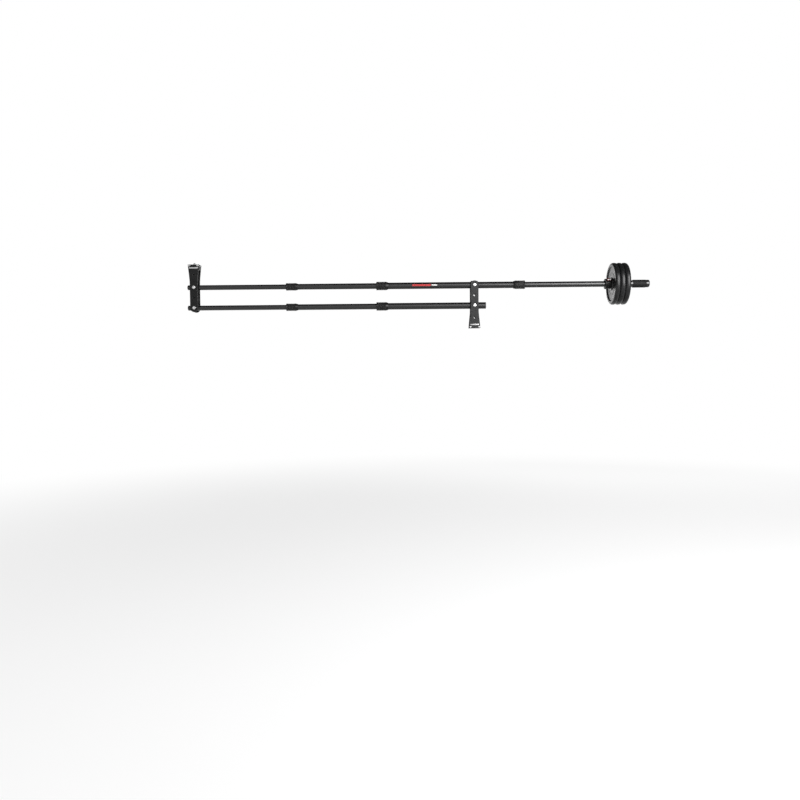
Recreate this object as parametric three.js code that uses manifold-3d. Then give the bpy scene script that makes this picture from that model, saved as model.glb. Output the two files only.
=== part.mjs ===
// Camera jib crane: two parallel telescopic arms on a fulcrum bracket, a head bracket that stays
// upright, and a counterweight bar behind the fulcrum.
// Millimetres, +X towards the counterweights, +Y to the far side, +Z up.
// The origin is the middle of the fulcrum block's underside, the face that the crane stands on.
import * as THREE from "three";
import { mergeVertices } from "three/addons/utils/BufferGeometryUtils.js";
import Module from "manifold-3d";

// Linkage
const pivotSpacing = 100; // upper pivot to lower pivot, on both brackets
const armLength = 1374; // fulcrum pivot to head pivot, on both arms
const fit = 0.3; // clearance between pieces that slide, turn or seat on each other
const overrun = 1; // how far a cutter reaches past what it cuts
const weldDistance = 1e-4; // corners closer than this become one

// Bracket plates
const plateWidth = 39;
const plateThickness = 6;
const plateGap = 39; // between the inner faces
const plateEndReach = 21; // far pivot to the tip of the round end
const plateFootReach = 111; // near pivot to the flared end
const plateChamfer = 2; // on the outer face
const flareStart = 10; // near pivot to the start of the flare
const flareBend = 45; // length over which the edge curves outwards
const flareRadius = 430;
const slotWidth = 43;
const slotHeight = 7;
const slotCorner = 2;
const slotSetback = 16.7; // from the plates' flared end to the middle of the slot
const middleHole = 12; // diameter, halfway between the pivots
const footHole = 9; // diameter
const footHoleReach = 61; // from the near pivot
const spotDiameter = 19; // counterbore round a pivot screw's head
const spotDepth = 2.5;

// Block between the plates' feet
const blockWidth = 52;
const blockHeight = 26;
const blockCorner = 3;

// Through-bolts of the block
const boltSpacing = 42;
const boltInset = 5.5; // from the plates' flared end
const boltShank = 5;
const boltHeadDiameter = 9;
const boltHeadHeight = 3;

// Tie bars through the feet: the fulcrum's takes a stud from below, the head's carries one on top
const threadDiameter = 9.5; // the 3/8 inch thread of both
const studReach = 9; // beyond the head block
const studBevel = 1;

// Pivots
const shoulderDiameter = 10;
const pivotHeadDiameter = 16;
const pivotHeadHeight = 4;
const pivotHeadBevel = 1;
const pivotThread = 8;
const bushWall = 1.6;
const bushFlangeDiameter = 19;
const bushFlangeThickness = 1;
const sleeveLength = 34;
const sleeveHeight = 40;
const sleeveCorner = 8;
const axleEndBevel = 1;

// Tubes
const mainTubeDiameter = 32;
const midTubeDiameter = 28;
const innerTubeDiameter = 24;
const rearTubeDiameter = 28;
const tubeWall = 1.6;
const mainTubeFront = 455; // ends of the tubes, from the fulcrum pivot
const mainTubeRear = 223;
const lowerTubeRear = 54.5;
const midTubeFront = 899;
const midTubeOverlap = 80; // length of one tube inside the next
const innerTubeOverlap = 75;
const rearTubeOverlap = 100;
const plugFlange = 2.5;
const plugDepth = 14;

// End lug of an inner tube
const lugNoseReach = 35.5; // head pivot to the tip of the rounded nose
const lugNoseRadius = 5;
const lugShoulder = 18; // head pivot to the end of the tube
const lugSpigot = 22; // length inside the tube
const lugBarrelDiameter = 22;

// Twist locks
const gripBack = 22; // nut behind the end of the outer tube
const gripFront = 26; // nut ahead of it
const gripBevel = 1;
const ribDepthShare = 0.045; // of the grip's radius
const ribs = 10;
const ferruleTaper = 10; // the tapered shoulder behind the nut
const ferruleShoulder = 0.8; // the grip stands this much proud of the shoulder
const ferruleTailWall = 1;
const ferruleLip = 2; // closes over the end of the outer tube
const mouthLength = 5; // straight bore at the nut's mouth
const slideFit = 0.4; // clearance round a sliding tube
const threadFit = 0.5; // clearance of the nut over the ferrule's neck and the collet
const colletRootWall = 3.1;
const colletTipWall = 1.4;
const colletSlit = 2;
const colletSlitLengthShare = 0.6; // of the collet's length
const frontNutDiameter = 42;
const frontNeckWall = 1.6; // threaded neck of the ferrule
const tipNutDiameter = 36.6;
const tipNeckWall = 1.4;

// Counterweights, lock collar and handle
const handleShoulder = 747; // fulcrum pivot to the handle's inner end
const weightDiameter = 204;
const weightThickness = 24.7;
const weightCount = 3;
const weightCrest = 8; // radial height of the rounded rim
const weightRimWidth = 17;
const weightDish = 5; // depth of the recessed face
const weightHubDiameter = 58;
const weightSlope = 3; // radial run of the slopes into the dish
const collarWidth = 29;
const collarDiameter = 46;
const collarFlangeDiameter = 50;
const collarFlangeWidth = 5;
const collarSlit = 3;
const leverPivotRadius = 28.5; // bar axis to lever pin
const leverPivotAngle = 15; // degrees above the far side
const leverPinDiameter = 4;
const leverBossDiameter = 8;
const leverThickness = 4;
const leverReachAngle = 145; // degrees, where the arm ends in its finger tab
const leverTabLength = 6;
const leverTabTip = 2;
const earThickness = 3;
const neckDiameter = 33; // shoulder on the bar
const neckLength = 31;
const neckBevel = 2;
const gripDiameter = 38.5;
const gripLength = 65;
const gripRib = 0.7; // depth of the handle's ribs
const gripRibs = 6;
const capDiameter = 37;
const capLength = 17;
const capRound = 4;
const capSpigot = 14;

// Facets
const roundSteps = 16;
const pivotSteps = 10;
const weightSteps = 20;
const arcSteps = 8;
const flareSteps = 3;
const cornerSteps = 2;
const noseSteps = 3;
const holeSteps = 8;
const crestSteps = 2;
const quarterTurn = Math.PI / 2;

// Worked out from the sizes above
const plateInner = plateGap / 2;
const plateOuter = plateInner + plateThickness;
const lowerPivotHeight = plateFootReach;
const upperPivotHeight = lowerPivotHeight + pivotSpacing;
const boltReach = plateFootReach - boltInset;
const slotReach = plateFootReach - slotSetback;
const bushOuter = shoulderDiameter / 2 + fit + bushWall;
const trunnionHalf = plateInner - fit - bushFlangeThickness - fit;
const screwSeat = plateOuter - spotDepth + fit;
const mainBore = mainTubeDiameter / 2 - tubeWall;
const midTubeRear = mainTubeFront - midTubeOverlap;
const innerTubeRear = midTubeFront - innerTubeOverlap;
const rearTubeFront = mainTubeRear - rearTubeOverlap;
const collarEnd = handleShoulder - fit - weightCount * (weightThickness + fit);
const capStart = handleShoulder + neckLength + fit + gripLength + fit;
const leverCentre = (collarFlangeWidth + collarWidth) / 2;
const leverWidth = collarWidth - collarFlangeWidth - 2 * (earThickness + fit);
const leverSlope = THREE.MathUtils.degToRad(leverPivotAngle);

// Finishes
const finish = (color, roughness, metalness) =>
  new THREE.MeshStandardMaterial({ color, roughness, metalness });
const tubeBlack = () => finish(0x2b2b2d, 0.38, 0.6);
const plateBlack = () => finish(0x35353a, 0.62, 0.5);
const headPlateBlack = () => finish(0x2a2a2c, 0.55, 0.5);
const gripBlack = () => finish(0x242425, 0.7, 0);
const plasticBlack = () => finish(0x1b1b1c, 0.3, 0);
const screwSteel = () => finish(0xc9c9c9, 0.25, 1);
const bushBronze = () => finish(0x9a7a45, 0.4, 1);
const colletWhite = () => finish(0xd8d6cf, 0.5, 0);
const weightGrey = () => finish(0x4c4e4c, 0.6, 0.5);
const leverRed = () => finish(0x5e1a18, 0.3, 0);

const wasm = await Module();
wasm.setup();

// A closed three.js geometry as a solid that can be cut and joined.
function solid(geometry) {
  const bare = geometry.clone();
  bare.deleteAttribute("normal");
  bare.deleteAttribute("uv");
  const merged = mergeVertices(bare, weldDistance);
  return new wasm.Manifold(
    new wasm.Mesh({
      numProp: 3,
      vertProperties: merged.attributes.position.array,
      triVerts: new Uint32Array(merged.index.array),
    }),
  );
}

// The way back: a solid as a three.js geometry.
function surface(shape) {
  const mesh = shape.getMesh();
  const geometry = new THREE.BufferGeometry();
  geometry.setAttribute("position", new THREE.BufferAttribute(mesh.vertProperties, 3));
  geometry.setIndex(new THREE.BufferAttribute(mesh.triVerts, 1));
  geometry.computeVertexNormals();
  return geometry;
}

// A body with others cut out of it.
function cut(body, ...tools) {
  return surface(tools.reduce((left, tool) => left.subtract(solid(tool)), solid(body)));
}

// Several bodies fused into one.
function join(...bodies) {
  return surface(bodies.map(solid).reduce((whole, body) => whole.add(body)));
}

// A profile of [radius, place] points turned about the X axis.
function turned(profile, steps = roundSteps) {
  const points = profile.map(([radius, place]) => new THREE.Vector2(radius, place));
  return new THREE.LatheGeometry(points, steps).rotateZ(-quarterTurn);
}

// The same about the Y axis.
function turnedAcross(profile, steps = pivotSteps) {
  const points = profile.map(([radius, place]) => new THREE.Vector2(radius, place));
  return new THREE.LatheGeometry(points, steps);
}

// The same about the Z axis.
function turnedUp(profile, steps = pivotSteps) {
  return turnedAcross(profile, steps).rotateX(quarterTurn);
}

// An extrusion drawn as y across and z up, carried along +X.
const alongBar = (geometry) => geometry.rotateX(quarterTurn).rotateZ(quarterTurn);

// A closed ring of [radius, place] points, repeating its first point.
const closed = (profile) => [...profile, profile[0]];

// A plain round bar from one place to another, as a profile.
const bar = (radius, from, to) => [
  [0, from],
  [radius, from],
  [radius, to],
  [0, to],
];

// A round tube along X with both ends open.
function tube(diameter, from, to) {
  const outer = diameter / 2;
  const inner = outer - tubeWall;
  return turned(
    closed([
      [inner, from],
      [outer, from],
      [outer, to],
      [inner, to],
    ]),
  );
}

// A rectangle with rounded corners, centred on the origin.
function roundedRectangle(width, height, corner) {
  const x = width / 2;
  const y = height / 2;
  const shape = new THREE.Shape();
  shape.moveTo(x, y - corner);
  shape.absarc(x - corner, y - corner, corner, 0, quarterTurn);
  shape.absarc(corner - x, y - corner, corner, quarterTurn, 2 * quarterTurn);
  shape.absarc(corner - x, corner - y, corner, 2 * quarterTurn, 3 * quarterTurn);
  shape.absarc(x - corner, corner - y, corner, 3 * quarterTurn, 4 * quarterTurn);
  return shape;
}

const crane = new THREE.Group();

// Adds a named piece to a group.
function piece(group, name, geometry, material) {
  const mesh = new THREE.Mesh(geometry, material);
  mesh.name = name;
  group.add(mesh);
  return mesh;
}

// A bar along Y of the slots' section, less a clearance all round, with its middle at the slots'
// reach; without the clearance it is the cutter of the slots themselves.
function slotBar(length, clearance) {
  const outline = roundedRectangle(
    slotWidth - 2 * clearance,
    slotHeight - 2 * clearance,
    slotCorner - clearance,
  );
  const body = new THREE.ExtrudeGeometry(outline, {
    depth: length,
    bevelEnabled: false,
    curveSegments: cornerSteps,
  });
  return body.rotateX(quarterTurn).translate(0, length / 2, slotReach);
}

// Half the plate's width at a distance past the near pivot: straight, then an arc, then a slope.
function plateHalfWidth(reach) {
  const bent = Math.min(Math.max(reach - flareStart, 0), flareBend);
  const straight = Math.max(reach - flareStart - flareBend, 0);
  return plateWidth / 2 + bent ** 2 / (2 * flareRadius) + (straight * flareBend) / flareRadius;
}

// A bracket plate's outline: x across, y from the near pivot towards the flared foot.
function plateOutline() {
  const half = plateWidth / 2;
  const endCentre = half - pivotSpacing - plateEndReach;
  const shape = new THREE.Shape();
  shape.moveTo(-half, flareStart);
  shape.lineTo(-half, endCentre);
  shape.absarc(0, endCentre, half, -2 * quarterTurn, 0);
  shape.lineTo(half, flareStart);
  const edge = [];
  for (let step = 1; step <= flareSteps; step += 1) {
    const reach = flareStart + (flareBend * step) / flareSteps;
    edge.push([plateHalfWidth(reach), reach]);
  }
  edge.push([plateHalfWidth(plateFootReach), plateFootReach]);
  edge.forEach(([x, y]) => shape.lineTo(x, y));
  edge.reverse().forEach(([x, y]) => shape.lineTo(-x, y));
  return shape;
}

// A bracket plate standing in the XZ plane with its foot up, inner face at y = 0, chamfered outer
// face towards +Y, and its holes cut.
function bracketPlate() {
  const slab = new THREE.ExtrudeGeometry(plateOutline(), {
    depth: plateThickness,
    bevelEnabled: true,
    bevelThickness: plateChamfer,
    bevelSize: plateChamfer,
    bevelOffset: -plateChamfer,
    bevelSegments: 1,
    curveSegments: arcSteps,
  });
  // Both ends of the slab are chamfered: one becomes the outer face, and the other is cut away
  // with all that lies behind the inner face.
  slab.rotateX(quarterTurn).translate(0, plateThickness - plateChamfer, 0);
  const span = 2 * (pivotSpacing + plateEndReach + plateFootReach);
  const behind = new THREE.BoxGeometry(span, plateThickness, span);
  behind.translate(0, -plateThickness / 2, 0);
  const through = (diameter, steps) =>
    turnedAcross(bar(diameter / 2, -overrun, plateThickness + overrun), steps);
  const spot = () =>
    turnedAcross(bar(spotDiameter / 2, plateThickness - spotDepth, plateThickness + overrun));
  const bushHole = () => through(2 * (bushOuter + fit), pivotSteps);
  const boltHoles = [-boltSpacing, boltSpacing].map((spacing) =>
    through(boltShank + 2 * fit, holeSteps).translate(spacing / 2, 0, boltReach),
  );
  return cut(
    slab,
    behind,
    bushHole(),
    bushHole().translate(0, 0, -pivotSpacing),
    spot(),
    spot().translate(0, 0, -pivotSpacing),
    through(middleHole, pivotSteps).translate(0, 0, -pivotSpacing / 2),
    through(footHole, holeSteps).translate(0, 0, footHoleReach),
    slotBar(span, 0),
    ...boltHoles,
  );
}

// The block between the feet, with its outer face at the plates' end. A slot from front to back
// takes the tie bar, a hole the thread, and two bolts go through it.
function footBlock() {
  const depth = plateGap - 2 * fit;
  const body = new THREE.ExtrudeGeometry(roundedRectangle(blockWidth, depth, blockCorner), {
    depth: blockHeight,
    bevelEnabled: false,
    curveSegments: cornerSteps,
  });
  body.translate(0, 0, plateFootReach - blockHeight);
  const threadHole = turnedUp(bar(threadDiameter / 2 + fit, slotReach, plateFootReach + overrun));
  const boltHoles = [-boltSpacing, boltSpacing].map((spacing) =>
    turnedAcross(bar(boltShank / 2 + fit, -depth, depth), holeSteps).translate(
      spacing / 2,
      0,
      boltReach,
    ),
  );
  return cut(body, slotBar(plateGap, 0), threadHole, ...boltHoles);
}

// The fulcrum's tie bar: through both plates and the block, with the thread for the stud below.
function tripodNut() {
  const thread = turnedUp(bar(threadDiameter / 2, slotReach - slotHeight, slotReach + slotHeight));
  return cut(slotBar(2 * plateOuter, fit), thread);
}

// The head's tie bar with the stud that what it carries is screwed on to.
function cameraScrew() {
  const radius = threadDiameter / 2;
  const tip = plateFootReach + studReach;
  const stud = turnedUp([
    [0, slotReach],
    [radius, slotReach],
    [radius, tip - studBevel],
    [radius - studBevel, tip],
    [0, tip],
  ]);
  return join(slotBar(2 * plateOuter, fit), stud);
}

// A through-bolt along Y: head outside the near plate, threaded end in the far plate.
function blockBolt() {
  const seat = -plateOuter - fit;
  const face = seat - boltHeadHeight;
  const profile = [
    [0, face],
    [boltHeadDiameter / 2, face],
    [boltHeadDiameter / 2, seat],
    [boltShank / 2, seat],
    [boltShank / 2, plateOuter],
    [0, plateOuter],
  ];
  return turnedAcross(profile, holeSteps);
}

// A flanged bush in the plate on the +Y side, its flange inside.
function pivotBush() {
  const bore = shoulderDiameter / 2 + fit;
  const flange = plateInner - fit;
  return turnedAcross(
    closed([
      [bore, flange - bushFlangeThickness],
      [bushFlangeDiameter / 2, flange - bushFlangeThickness],
      [bushFlangeDiameter / 2, flange],
      [bushOuter, flange],
      [bushOuter, screwSeat - 2 * fit],
      [bore, screwSeat - 2 * fit],
    ]),
  );
}

// Round head of a pivot screw or axle, outer face first, for the -Y side.
function pivotHead() {
  const face = -screwSeat - pivotHeadHeight;
  return [
    [0, face],
    [pivotHeadDiameter / 2 - pivotHeadBevel, face],
    [pivotHeadDiameter / 2, face + pivotHeadBevel],
    [pivotHeadDiameter / 2, -screwSeat],
    [shoulderDiameter / 2, -screwSeat],
  ];
}

// A shoulder screw for the -Y side: it turns in the bush, and its thread goes through the sleeve
// and the tube's wall, so the bore of the tube stays free.
function pivotScrew() {
  const shoulderEnd = -trunnionHalf - fit;
  const tip = -mainBore - fit;
  return turnedAcross([
    ...pivotHead(),
    [shoulderDiameter / 2, shoulderEnd],
    [pivotThread / 2, shoulderEnd],
    [pivotThread / 2, tip],
    [0, tip],
  ]);
}

// An axle right through a head bracket, ending flush with the plate on the +Y side.
function headAxle() {
  return turnedAcross([
    ...pivotHead(),
    [shoulderDiameter / 2, plateOuter - axleEndBevel],
    [shoulderDiameter / 2 - axleEndBevel, plateOuter],
    [0, plateOuter],
  ]);
}

// The trunnion sleeve round a main tube, with flat sides towards the plates.
function pivotSleeve() {
  const outline = roundedRectangle(2 * trunnionHalf, sleeveHeight, sleeveCorner);
  const body = alongBar(
    new THREE.ExtrudeGeometry(outline, {
      depth: sleeveLength,
      bevelEnabled: false,
      curveSegments: cornerSteps,
    }),
  );
  body.translate(-sleeveLength / 2, 0, 0);
  const bore = turned(bar(mainTubeDiameter / 2 + fit, -sleeveLength, sleeveLength));
  const screwHole = turnedAcross(bar(pivotThread / 2 + fit, -plateInner, plateInner));
  return cut(body, bore, screwHole);
}

// A main tube from its front end to its rear end, drilled for the pivot screws.
function mainTube(rear) {
  const screwHole = turnedAcross(bar(pivotThread / 2 + fit, -plateInner, plateInner));
  return cut(tube(mainTubeDiameter, -mainTubeFront, rear), screwHole);
}

// A lug that closes an inner tube and carries the head axle; the axle's place is the origin.
function endLug() {
  const radius = innerTubeDiameter / 2;
  const spigot = radius - tubeWall - fit;
  const nose = [];
  for (let step = 0; step <= noseSteps; step += 1) {
    const angle = (quarterTurn * step) / noseSteps;
    nose.push([
      radius - lugNoseRadius + lugNoseRadius * Math.sin(angle),
      lugNoseRadius - lugNoseReach - lugNoseRadius * Math.cos(angle),
    ]);
  }
  const body = turned([
    [0, -lugNoseReach],
    ...nose,
    [radius, lugShoulder],
    [spigot, lugShoulder],
    [spigot, lugShoulder + lugSpigot],
    [0, lugShoulder + lugSpigot],
  ]);
  const barrel = turnedAcross(bar(lugBarrelDiameter / 2, -trunnionHalf, trunnionHalf), roundSteps);
  const bore = turnedAcross(bar(shoulderDiameter / 2 + fit, -plateInner, plateInner));
  return cut(join(body, barrel), bore);
}

// The sizes that one twist lock is made from, along an axis whose zero is the outer tube's end and
// whose plus side is the mouth.
function twistLock(outerDiameter, innerDiameter, nutDiameter, neckWall) {
  const lock = {};
  lock.ferruleBore = outerDiameter / 2 + fit;
  lock.neck = lock.ferruleBore + neckWall;
  lock.grip = nutDiameter / 2;
  lock.mouth = innerDiameter / 2 + slideFit;
  lock.colletBore = innerDiameter / 2 + fit;
  lock.colletStart = fit + ferruleLip + fit;
  lock.colletEnd = gripFront - mouthLength - fit;
  lock.colletRoot = lock.colletBore + colletRootWall;
  lock.colletTip = lock.colletBore + colletTipWall;
  return lock;
}

// The ferrule: a sleeve on the outer tube with a tapered shoulder, a threaded neck and an end lip.
function ferrule(lock) {
  const shoulder = lock.grip - ferruleShoulder;
  const tail = -gripBack - ferruleTaper;
  return turned(
    closed([
      [lock.ferruleBore, tail],
      [lock.ferruleBore + ferruleTailWall, tail],
      [shoulder, -gripBack - fit],
      [lock.neck, -gripBack - fit],
      [lock.neck, fit + ferruleLip],
      [lock.mouth, fit + ferruleLip],
      [lock.mouth, fit],
      [lock.ferruleBore, fit],
    ]),
  );
}

// The collet: a split tapered ring that the nut squeezes on to the sliding tube.
function collet(lock) {
  const { colletBore, colletStart, colletEnd, colletRoot, colletTip } = lock;
  const body = turned(
    closed([
      [colletBore, colletStart],
      [colletRoot, colletStart],
      [colletTip, colletEnd],
      [colletBore, colletEnd],
    ]),
  );
  const length = colletEnd - colletStart;
  const slitFrom = (start, angle) => {
    const reach = colletEnd + overrun - start;
    const slit = new THREE.BoxGeometry(reach, colletSlit, colletRoot + overrun);
    slit.translate(start + reach / 2, 0, (colletRoot + overrun) / 2);
    return slit.rotateX(angle);
  };
  const partStart = colletEnd - length * colletSlitLengthShare;
  return cut(
    body,
    slitFrom(colletStart - overrun, 0),
    slitFrom(partStart, (4 * quarterTurn) / 3),
    slitFrom(partStart, (8 * quarterTurn) / 3),
  );
}

// A ribbed outline: the radius swells and dips once a rib.
function ribbedOutline(radius) {
  const shape = new THREE.Shape();
  const valley = radius * (1 - ribDepthShare);
  for (let rib = 0; rib < ribs; rib += 1) {
    [valley, radius, radius].forEach((distance, corner) => {
      const angle = ((rib + corner / 3) / ribs) * 4 * quarterTurn;
      const x = distance * Math.cos(angle);
      const y = distance * Math.sin(angle);
      if (rib === 0 && corner === 0) {
        shape.moveTo(x, y);
      } else {
        shape.lineTo(x, y);
      }
    });
  }
  return shape;
}

// The nut: ribbed grip outside; thread, taper and mouth inside.
function lockNut(lock) {
  const length = gripBack + gripFront;
  const body = alongBar(
    new THREE.ExtrudeGeometry(ribbedOutline(lock.grip), {
      depth: length - 2 * gripBevel,
      bevelEnabled: true,
      bevelThickness: gripBevel,
      bevelSize: gripBevel,
      bevelOffset: -gripBevel,
      bevelSegments: 1,
    }),
  );
  body.translate(gripBevel - gripBack, 0, 0);
  const bore = turned([
    [0, -gripBack - overrun],
    [lock.neck + threadFit, -gripBack - overrun],
    [lock.neck + threadFit, lock.colletStart],
    [lock.colletRoot + threadFit, lock.colletStart],
    [lock.colletTip + threadFit, lock.colletEnd + fit],
    [lock.mouth, lock.colletEnd + fit],
    [lock.mouth, gripFront + overrun],
    [0, gripFront + overrun],
  ]);
  return cut(body, bore);
}

const frontLock = twistLock(
  mainTubeDiameter,
  midTubeDiameter,
  frontNutDiameter,
  frontNeckWall,
);
const rearLock = twistLock(
  mainTubeDiameter,
  rearTubeDiameter,
  frontNutDiameter,
  frontNeckWall,
);
const tipLock = twistLock(midTubeDiameter, innerTubeDiameter, tipNutDiameter, tipNeckWall);

// Puts the three pieces of a twist lock at a tube's end; front locks open towards -X.
function addLock(group, prefix, lock, end) {
  const holder = new THREE.Group();
  holder.position.x = end;
  holder.rotation.z = end < 0 ? 2 * quarterTurn : 0;
  piece(holder, `${prefix}_ferrule`, ferrule(lock), plasticBlack());
  piece(holder, `${prefix}_collet`, collet(lock), colletWhite());
  piece(holder, `${prefix}_nut`, lockNut(lock), gripBlack());
  group.add(holder);
}

// A bracket's plates, bolts and bushes; its near pivot is the origin and its foot points to +Z.
// Turned over about Y, the foot points down and the ends change sides.
function addBracket(group, prefix, material, turnedOver) {
  group.rotation.y = turnedOver ? 2 * quarterTurn : 0;
  const far = piece(group, `${prefix}_plate_far`, bracketPlate(), material());
  far.position.y = plateInner;
  const near = piece(group, `${prefix}_plate_near`, bracketPlate(), material());
  near.position.y = -plateInner;
  near.rotation.z = 2 * quarterTurn;
  [-1, 1].forEach((side) => {
    const end = side < 0 !== turnedOver ? "front" : "rear";
    const bolt = piece(group, `${prefix}_bolt_${end}`, blockBolt(), screwSteel());
    bolt.position.set((side * boltSpacing) / 2, 0, boltReach);
  });
  [0, -pivotSpacing].forEach((height) => {
    const level = (height === 0) === turnedOver ? "lower" : "upper";
    [-1, 1].forEach((side) => {
      const place = side < 0 ? "near" : "far";
      const bush = piece(group, `${prefix}_bush_${level}_${place}`, pivotBush(), bushBronze());
      bush.position.z = height;
      bush.rotation.z = side < 0 ? 2 * quarterTurn : 0;
    });
  });
}

// Fulcrum bracket, foot down
const fulcrum = new THREE.Group();
fulcrum.position.z = lowerPivotHeight;
addBracket(fulcrum, "fulcrum", plateBlack, true);
piece(fulcrum, "fulcrum_base_block", footBlock(), plateBlack());
piece(fulcrum, "tripod_nut", tripodNut(), screwSteel());
crane.add(fulcrum);

// Head bracket, foot up
const head = new THREE.Group();
head.position.set(-armLength, 0, upperPivotHeight);
addBracket(head, "head", headPlateBlack, false);
piece(head, "head_top_block", footBlock(), headPlateBlack());
piece(head, "camera_screw", cameraScrew(), screwSteel());
crane.add(head);

// An arm ahead of the fulcrum, with its pivot pieces; its fulcrum pivot is the origin.
function addArm(level, height, rear) {
  const arm = new THREE.Group();
  arm.position.z = height;
  piece(arm, `${level}_main_tube`, mainTube(rear), tubeBlack());
  piece(arm, `${level}_pivot_sleeve`, pivotSleeve(), tubeBlack());
  piece(arm, `${level}_pivot_screw_near`, pivotScrew(), screwSteel());
  const far = piece(arm, `${level}_pivot_screw_far`, pivotScrew(), screwSteel());
  far.rotation.z = 2 * quarterTurn;
  addLock(arm, `${level}_front`, frontLock, -mainTubeFront);
  const midTube = tube(midTubeDiameter, -midTubeFront, -midTubeRear);
  piece(arm, `${level}_mid_tube`, midTube, tubeBlack());
  addLock(arm, `${level}_tip`, tipLock, -midTubeFront);
  const innerTubeFront = lugShoulder + fit - armLength;
  const innerTube = tube(innerTubeDiameter, innerTubeFront, -innerTubeRear);
  piece(arm, `${level}_inner_tube`, innerTube, tubeBlack());
  const lug = piece(arm, `${level}_end_lug`, endLug(), plasticBlack());
  lug.position.x = -armLength;
  const axle = piece(arm, `${level}_head_axle`, headAxle(), screwSteel());
  axle.position.x = -armLength;
  crane.add(arm);
  return arm;
}

const upperArm = addArm("upper", upperPivotHeight, mainTubeRear);
const lowerArm = addArm("lower", lowerPivotHeight, lowerTubeRear);

// Plug in the lower tube's rear end
const plugRadius = mainBore - fit;
const plug = turned([
  [0, lowerTubeRear - plugDepth],
  [plugRadius, lowerTubeRear - plugDepth],
  [plugRadius, lowerTubeRear + fit],
  [mainTubeDiameter / 2, lowerTubeRear + fit],
  [mainTubeDiameter / 2, lowerTubeRear + plugFlange],
  [0, lowerTubeRear + plugFlange],
]);
piece(lowerArm, "lower_tube_plug", plug, plasticBlack());

// Rear arm: the bar for the weights, held by a third twist lock, with the shoulder that the
// weights rest against, and its handle
addLock(upperArm, "rear", rearLock, mainTubeRear);
const barEnd = capStart - fit;
const neckEnd = handleShoulder + neckLength;
const barInside = rearTubeDiameter / 2 - tubeWall;
const rearTube = turned(
  closed([
    [barInside, rearTubeFront],
    [rearTubeDiameter / 2, rearTubeFront],
    [rearTubeDiameter / 2, handleShoulder],
    [neckDiameter / 2 - neckBevel, handleShoulder],
    [neckDiameter / 2, handleShoulder + neckBevel],
    [neckDiameter / 2, neckEnd],
    [rearTubeDiameter / 2, neckEnd],
    [rearTubeDiameter / 2, barEnd],
    [barInside, barEnd],
  ]),
);
piece(upperArm, "rear_tube", rearTube, tubeBlack());
const barBore = rearTubeDiameter / 2 + fit;

// The grip's ribs run round it: a crest and a valley for each.
const gripStart = neckEnd + fit;
const gripOuter = [];
for (let rib = 0; rib <= gripRibs; rib += 1) {
  const place = gripStart + (gripLength * rib) / gripRibs;
  gripOuter.push([gripDiameter / 2 - gripRib, place]);
  if (rib < gripRibs) {
    gripOuter.push([gripDiameter / 2, place + gripLength / gripRibs / 2]);
  }
}
const grip = turned(closed([[barBore, gripStart], ...gripOuter, [barBore, gripStart + gripLength]]));
piece(upperArm, "handle_grip", grip, gripBlack());

const spigotRadius = barInside - fit;
const capEdge = [];
for (let step = 0; step <= noseSteps; step += 1) {
  const angle = (quarterTurn * step) / noseSteps;
  capEdge.push([
    capDiameter / 2 - capRound + capRound * Math.cos(angle),
    capStart + capLength - capRound + capRound * Math.sin(angle),
  ]);
}
const cap = turned([
  [0, capStart - capSpigot],
  [spigotRadius, capStart - capSpigot],
  [spigotRadius, capStart],
  [capDiameter / 2, capStart],
  ...capEdge,
  [0, capStart + capLength],
]);
piece(upperArm, "handle_cap", cap, plasticBlack());

// A cast weight plate centred on the origin: hub, dished web and a rounded rim, the same on both
// faces.
function weightPlate() {
  const half = weightThickness / 2;
  const outer = weightDiameter / 2;
  const hub = weightHubDiameter / 2;
  const rim = outer - weightRimWidth;
  const web = half - weightDish;
  const face = [
    [barBore, half],
    [hub, half],
    [hub + weightSlope, web],
    [rim - weightSlope, web],
    [rim, half],
  ];
  for (let step = 0; step < crestSteps; step += 1) {
    const angle = (quarterTurn * step) / crestSteps;
    face.push([outer - weightCrest * (1 - Math.sin(angle)), half * Math.cos(angle)]);
  }
  const mirrored = face.map(([radius, place]) => [radius, -place]);
  return turned(closed([...mirrored, [outer, 0], ...face.reverse()]), weightSteps);
}

for (let number = 1; number <= weightCount; number += 1) {
  const weight = piece(upperArm, `weight_plate_${number}`, weightPlate(), weightGrey());
  weight.position.x = collarEnd + (weightThickness + fit) * (number - 1 / 2);
}

// Lock collar: a split ring with a flange and two ears for the lever's pin, from place 0 along X
function collarRing() {
  const body = turned(
    closed([
      [barBore, 0],
      [collarFlangeDiameter / 2, 0],
      [collarFlangeDiameter / 2, collarFlangeWidth],
      [collarDiameter / 2, collarFlangeWidth],
      [collarDiameter / 2, collarWidth],
      [barBore, collarWidth],
    ]),
  );
  const earReach = leverPivotRadius - barBore - leverThickness;
  const ear = (place) => {
    const disc = turned(bar(leverBossDiameter / 2, place, place + earThickness), pivotSteps);
    disc.translate(0, leverPivotRadius, 0);
    const root = new THREE.BoxGeometry(earThickness, earReach, leverBossDiameter);
    root.translate(place + earThickness / 2, leverPivotRadius - earReach / 2, 0);
    return [disc, root];
  };
  const ears = [
    ...ear(leverCentre - leverWidth / 2 - fit - earThickness),
    ...ear(leverCentre + leverWidth / 2 + fit),
  ];
  ears.forEach((part) => part.rotateX(leverSlope));
  const pinHole = turned(
    bar(leverPinDiameter / 2 + fit, -overrun, collarWidth + overrun),
    pivotSteps,
  );
  pinHole.translate(0, leverPivotRadius, 0).rotateX(leverSlope);
  const slit = new THREE.BoxGeometry(collarWidth + 2 * overrun, collarSlit, collarFlangeDiameter);
  slit.translate(collarWidth / 2, 0, collarFlangeDiameter / 2);
  return cut(join(body, ...ears), pinHole, slit);
}

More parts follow.
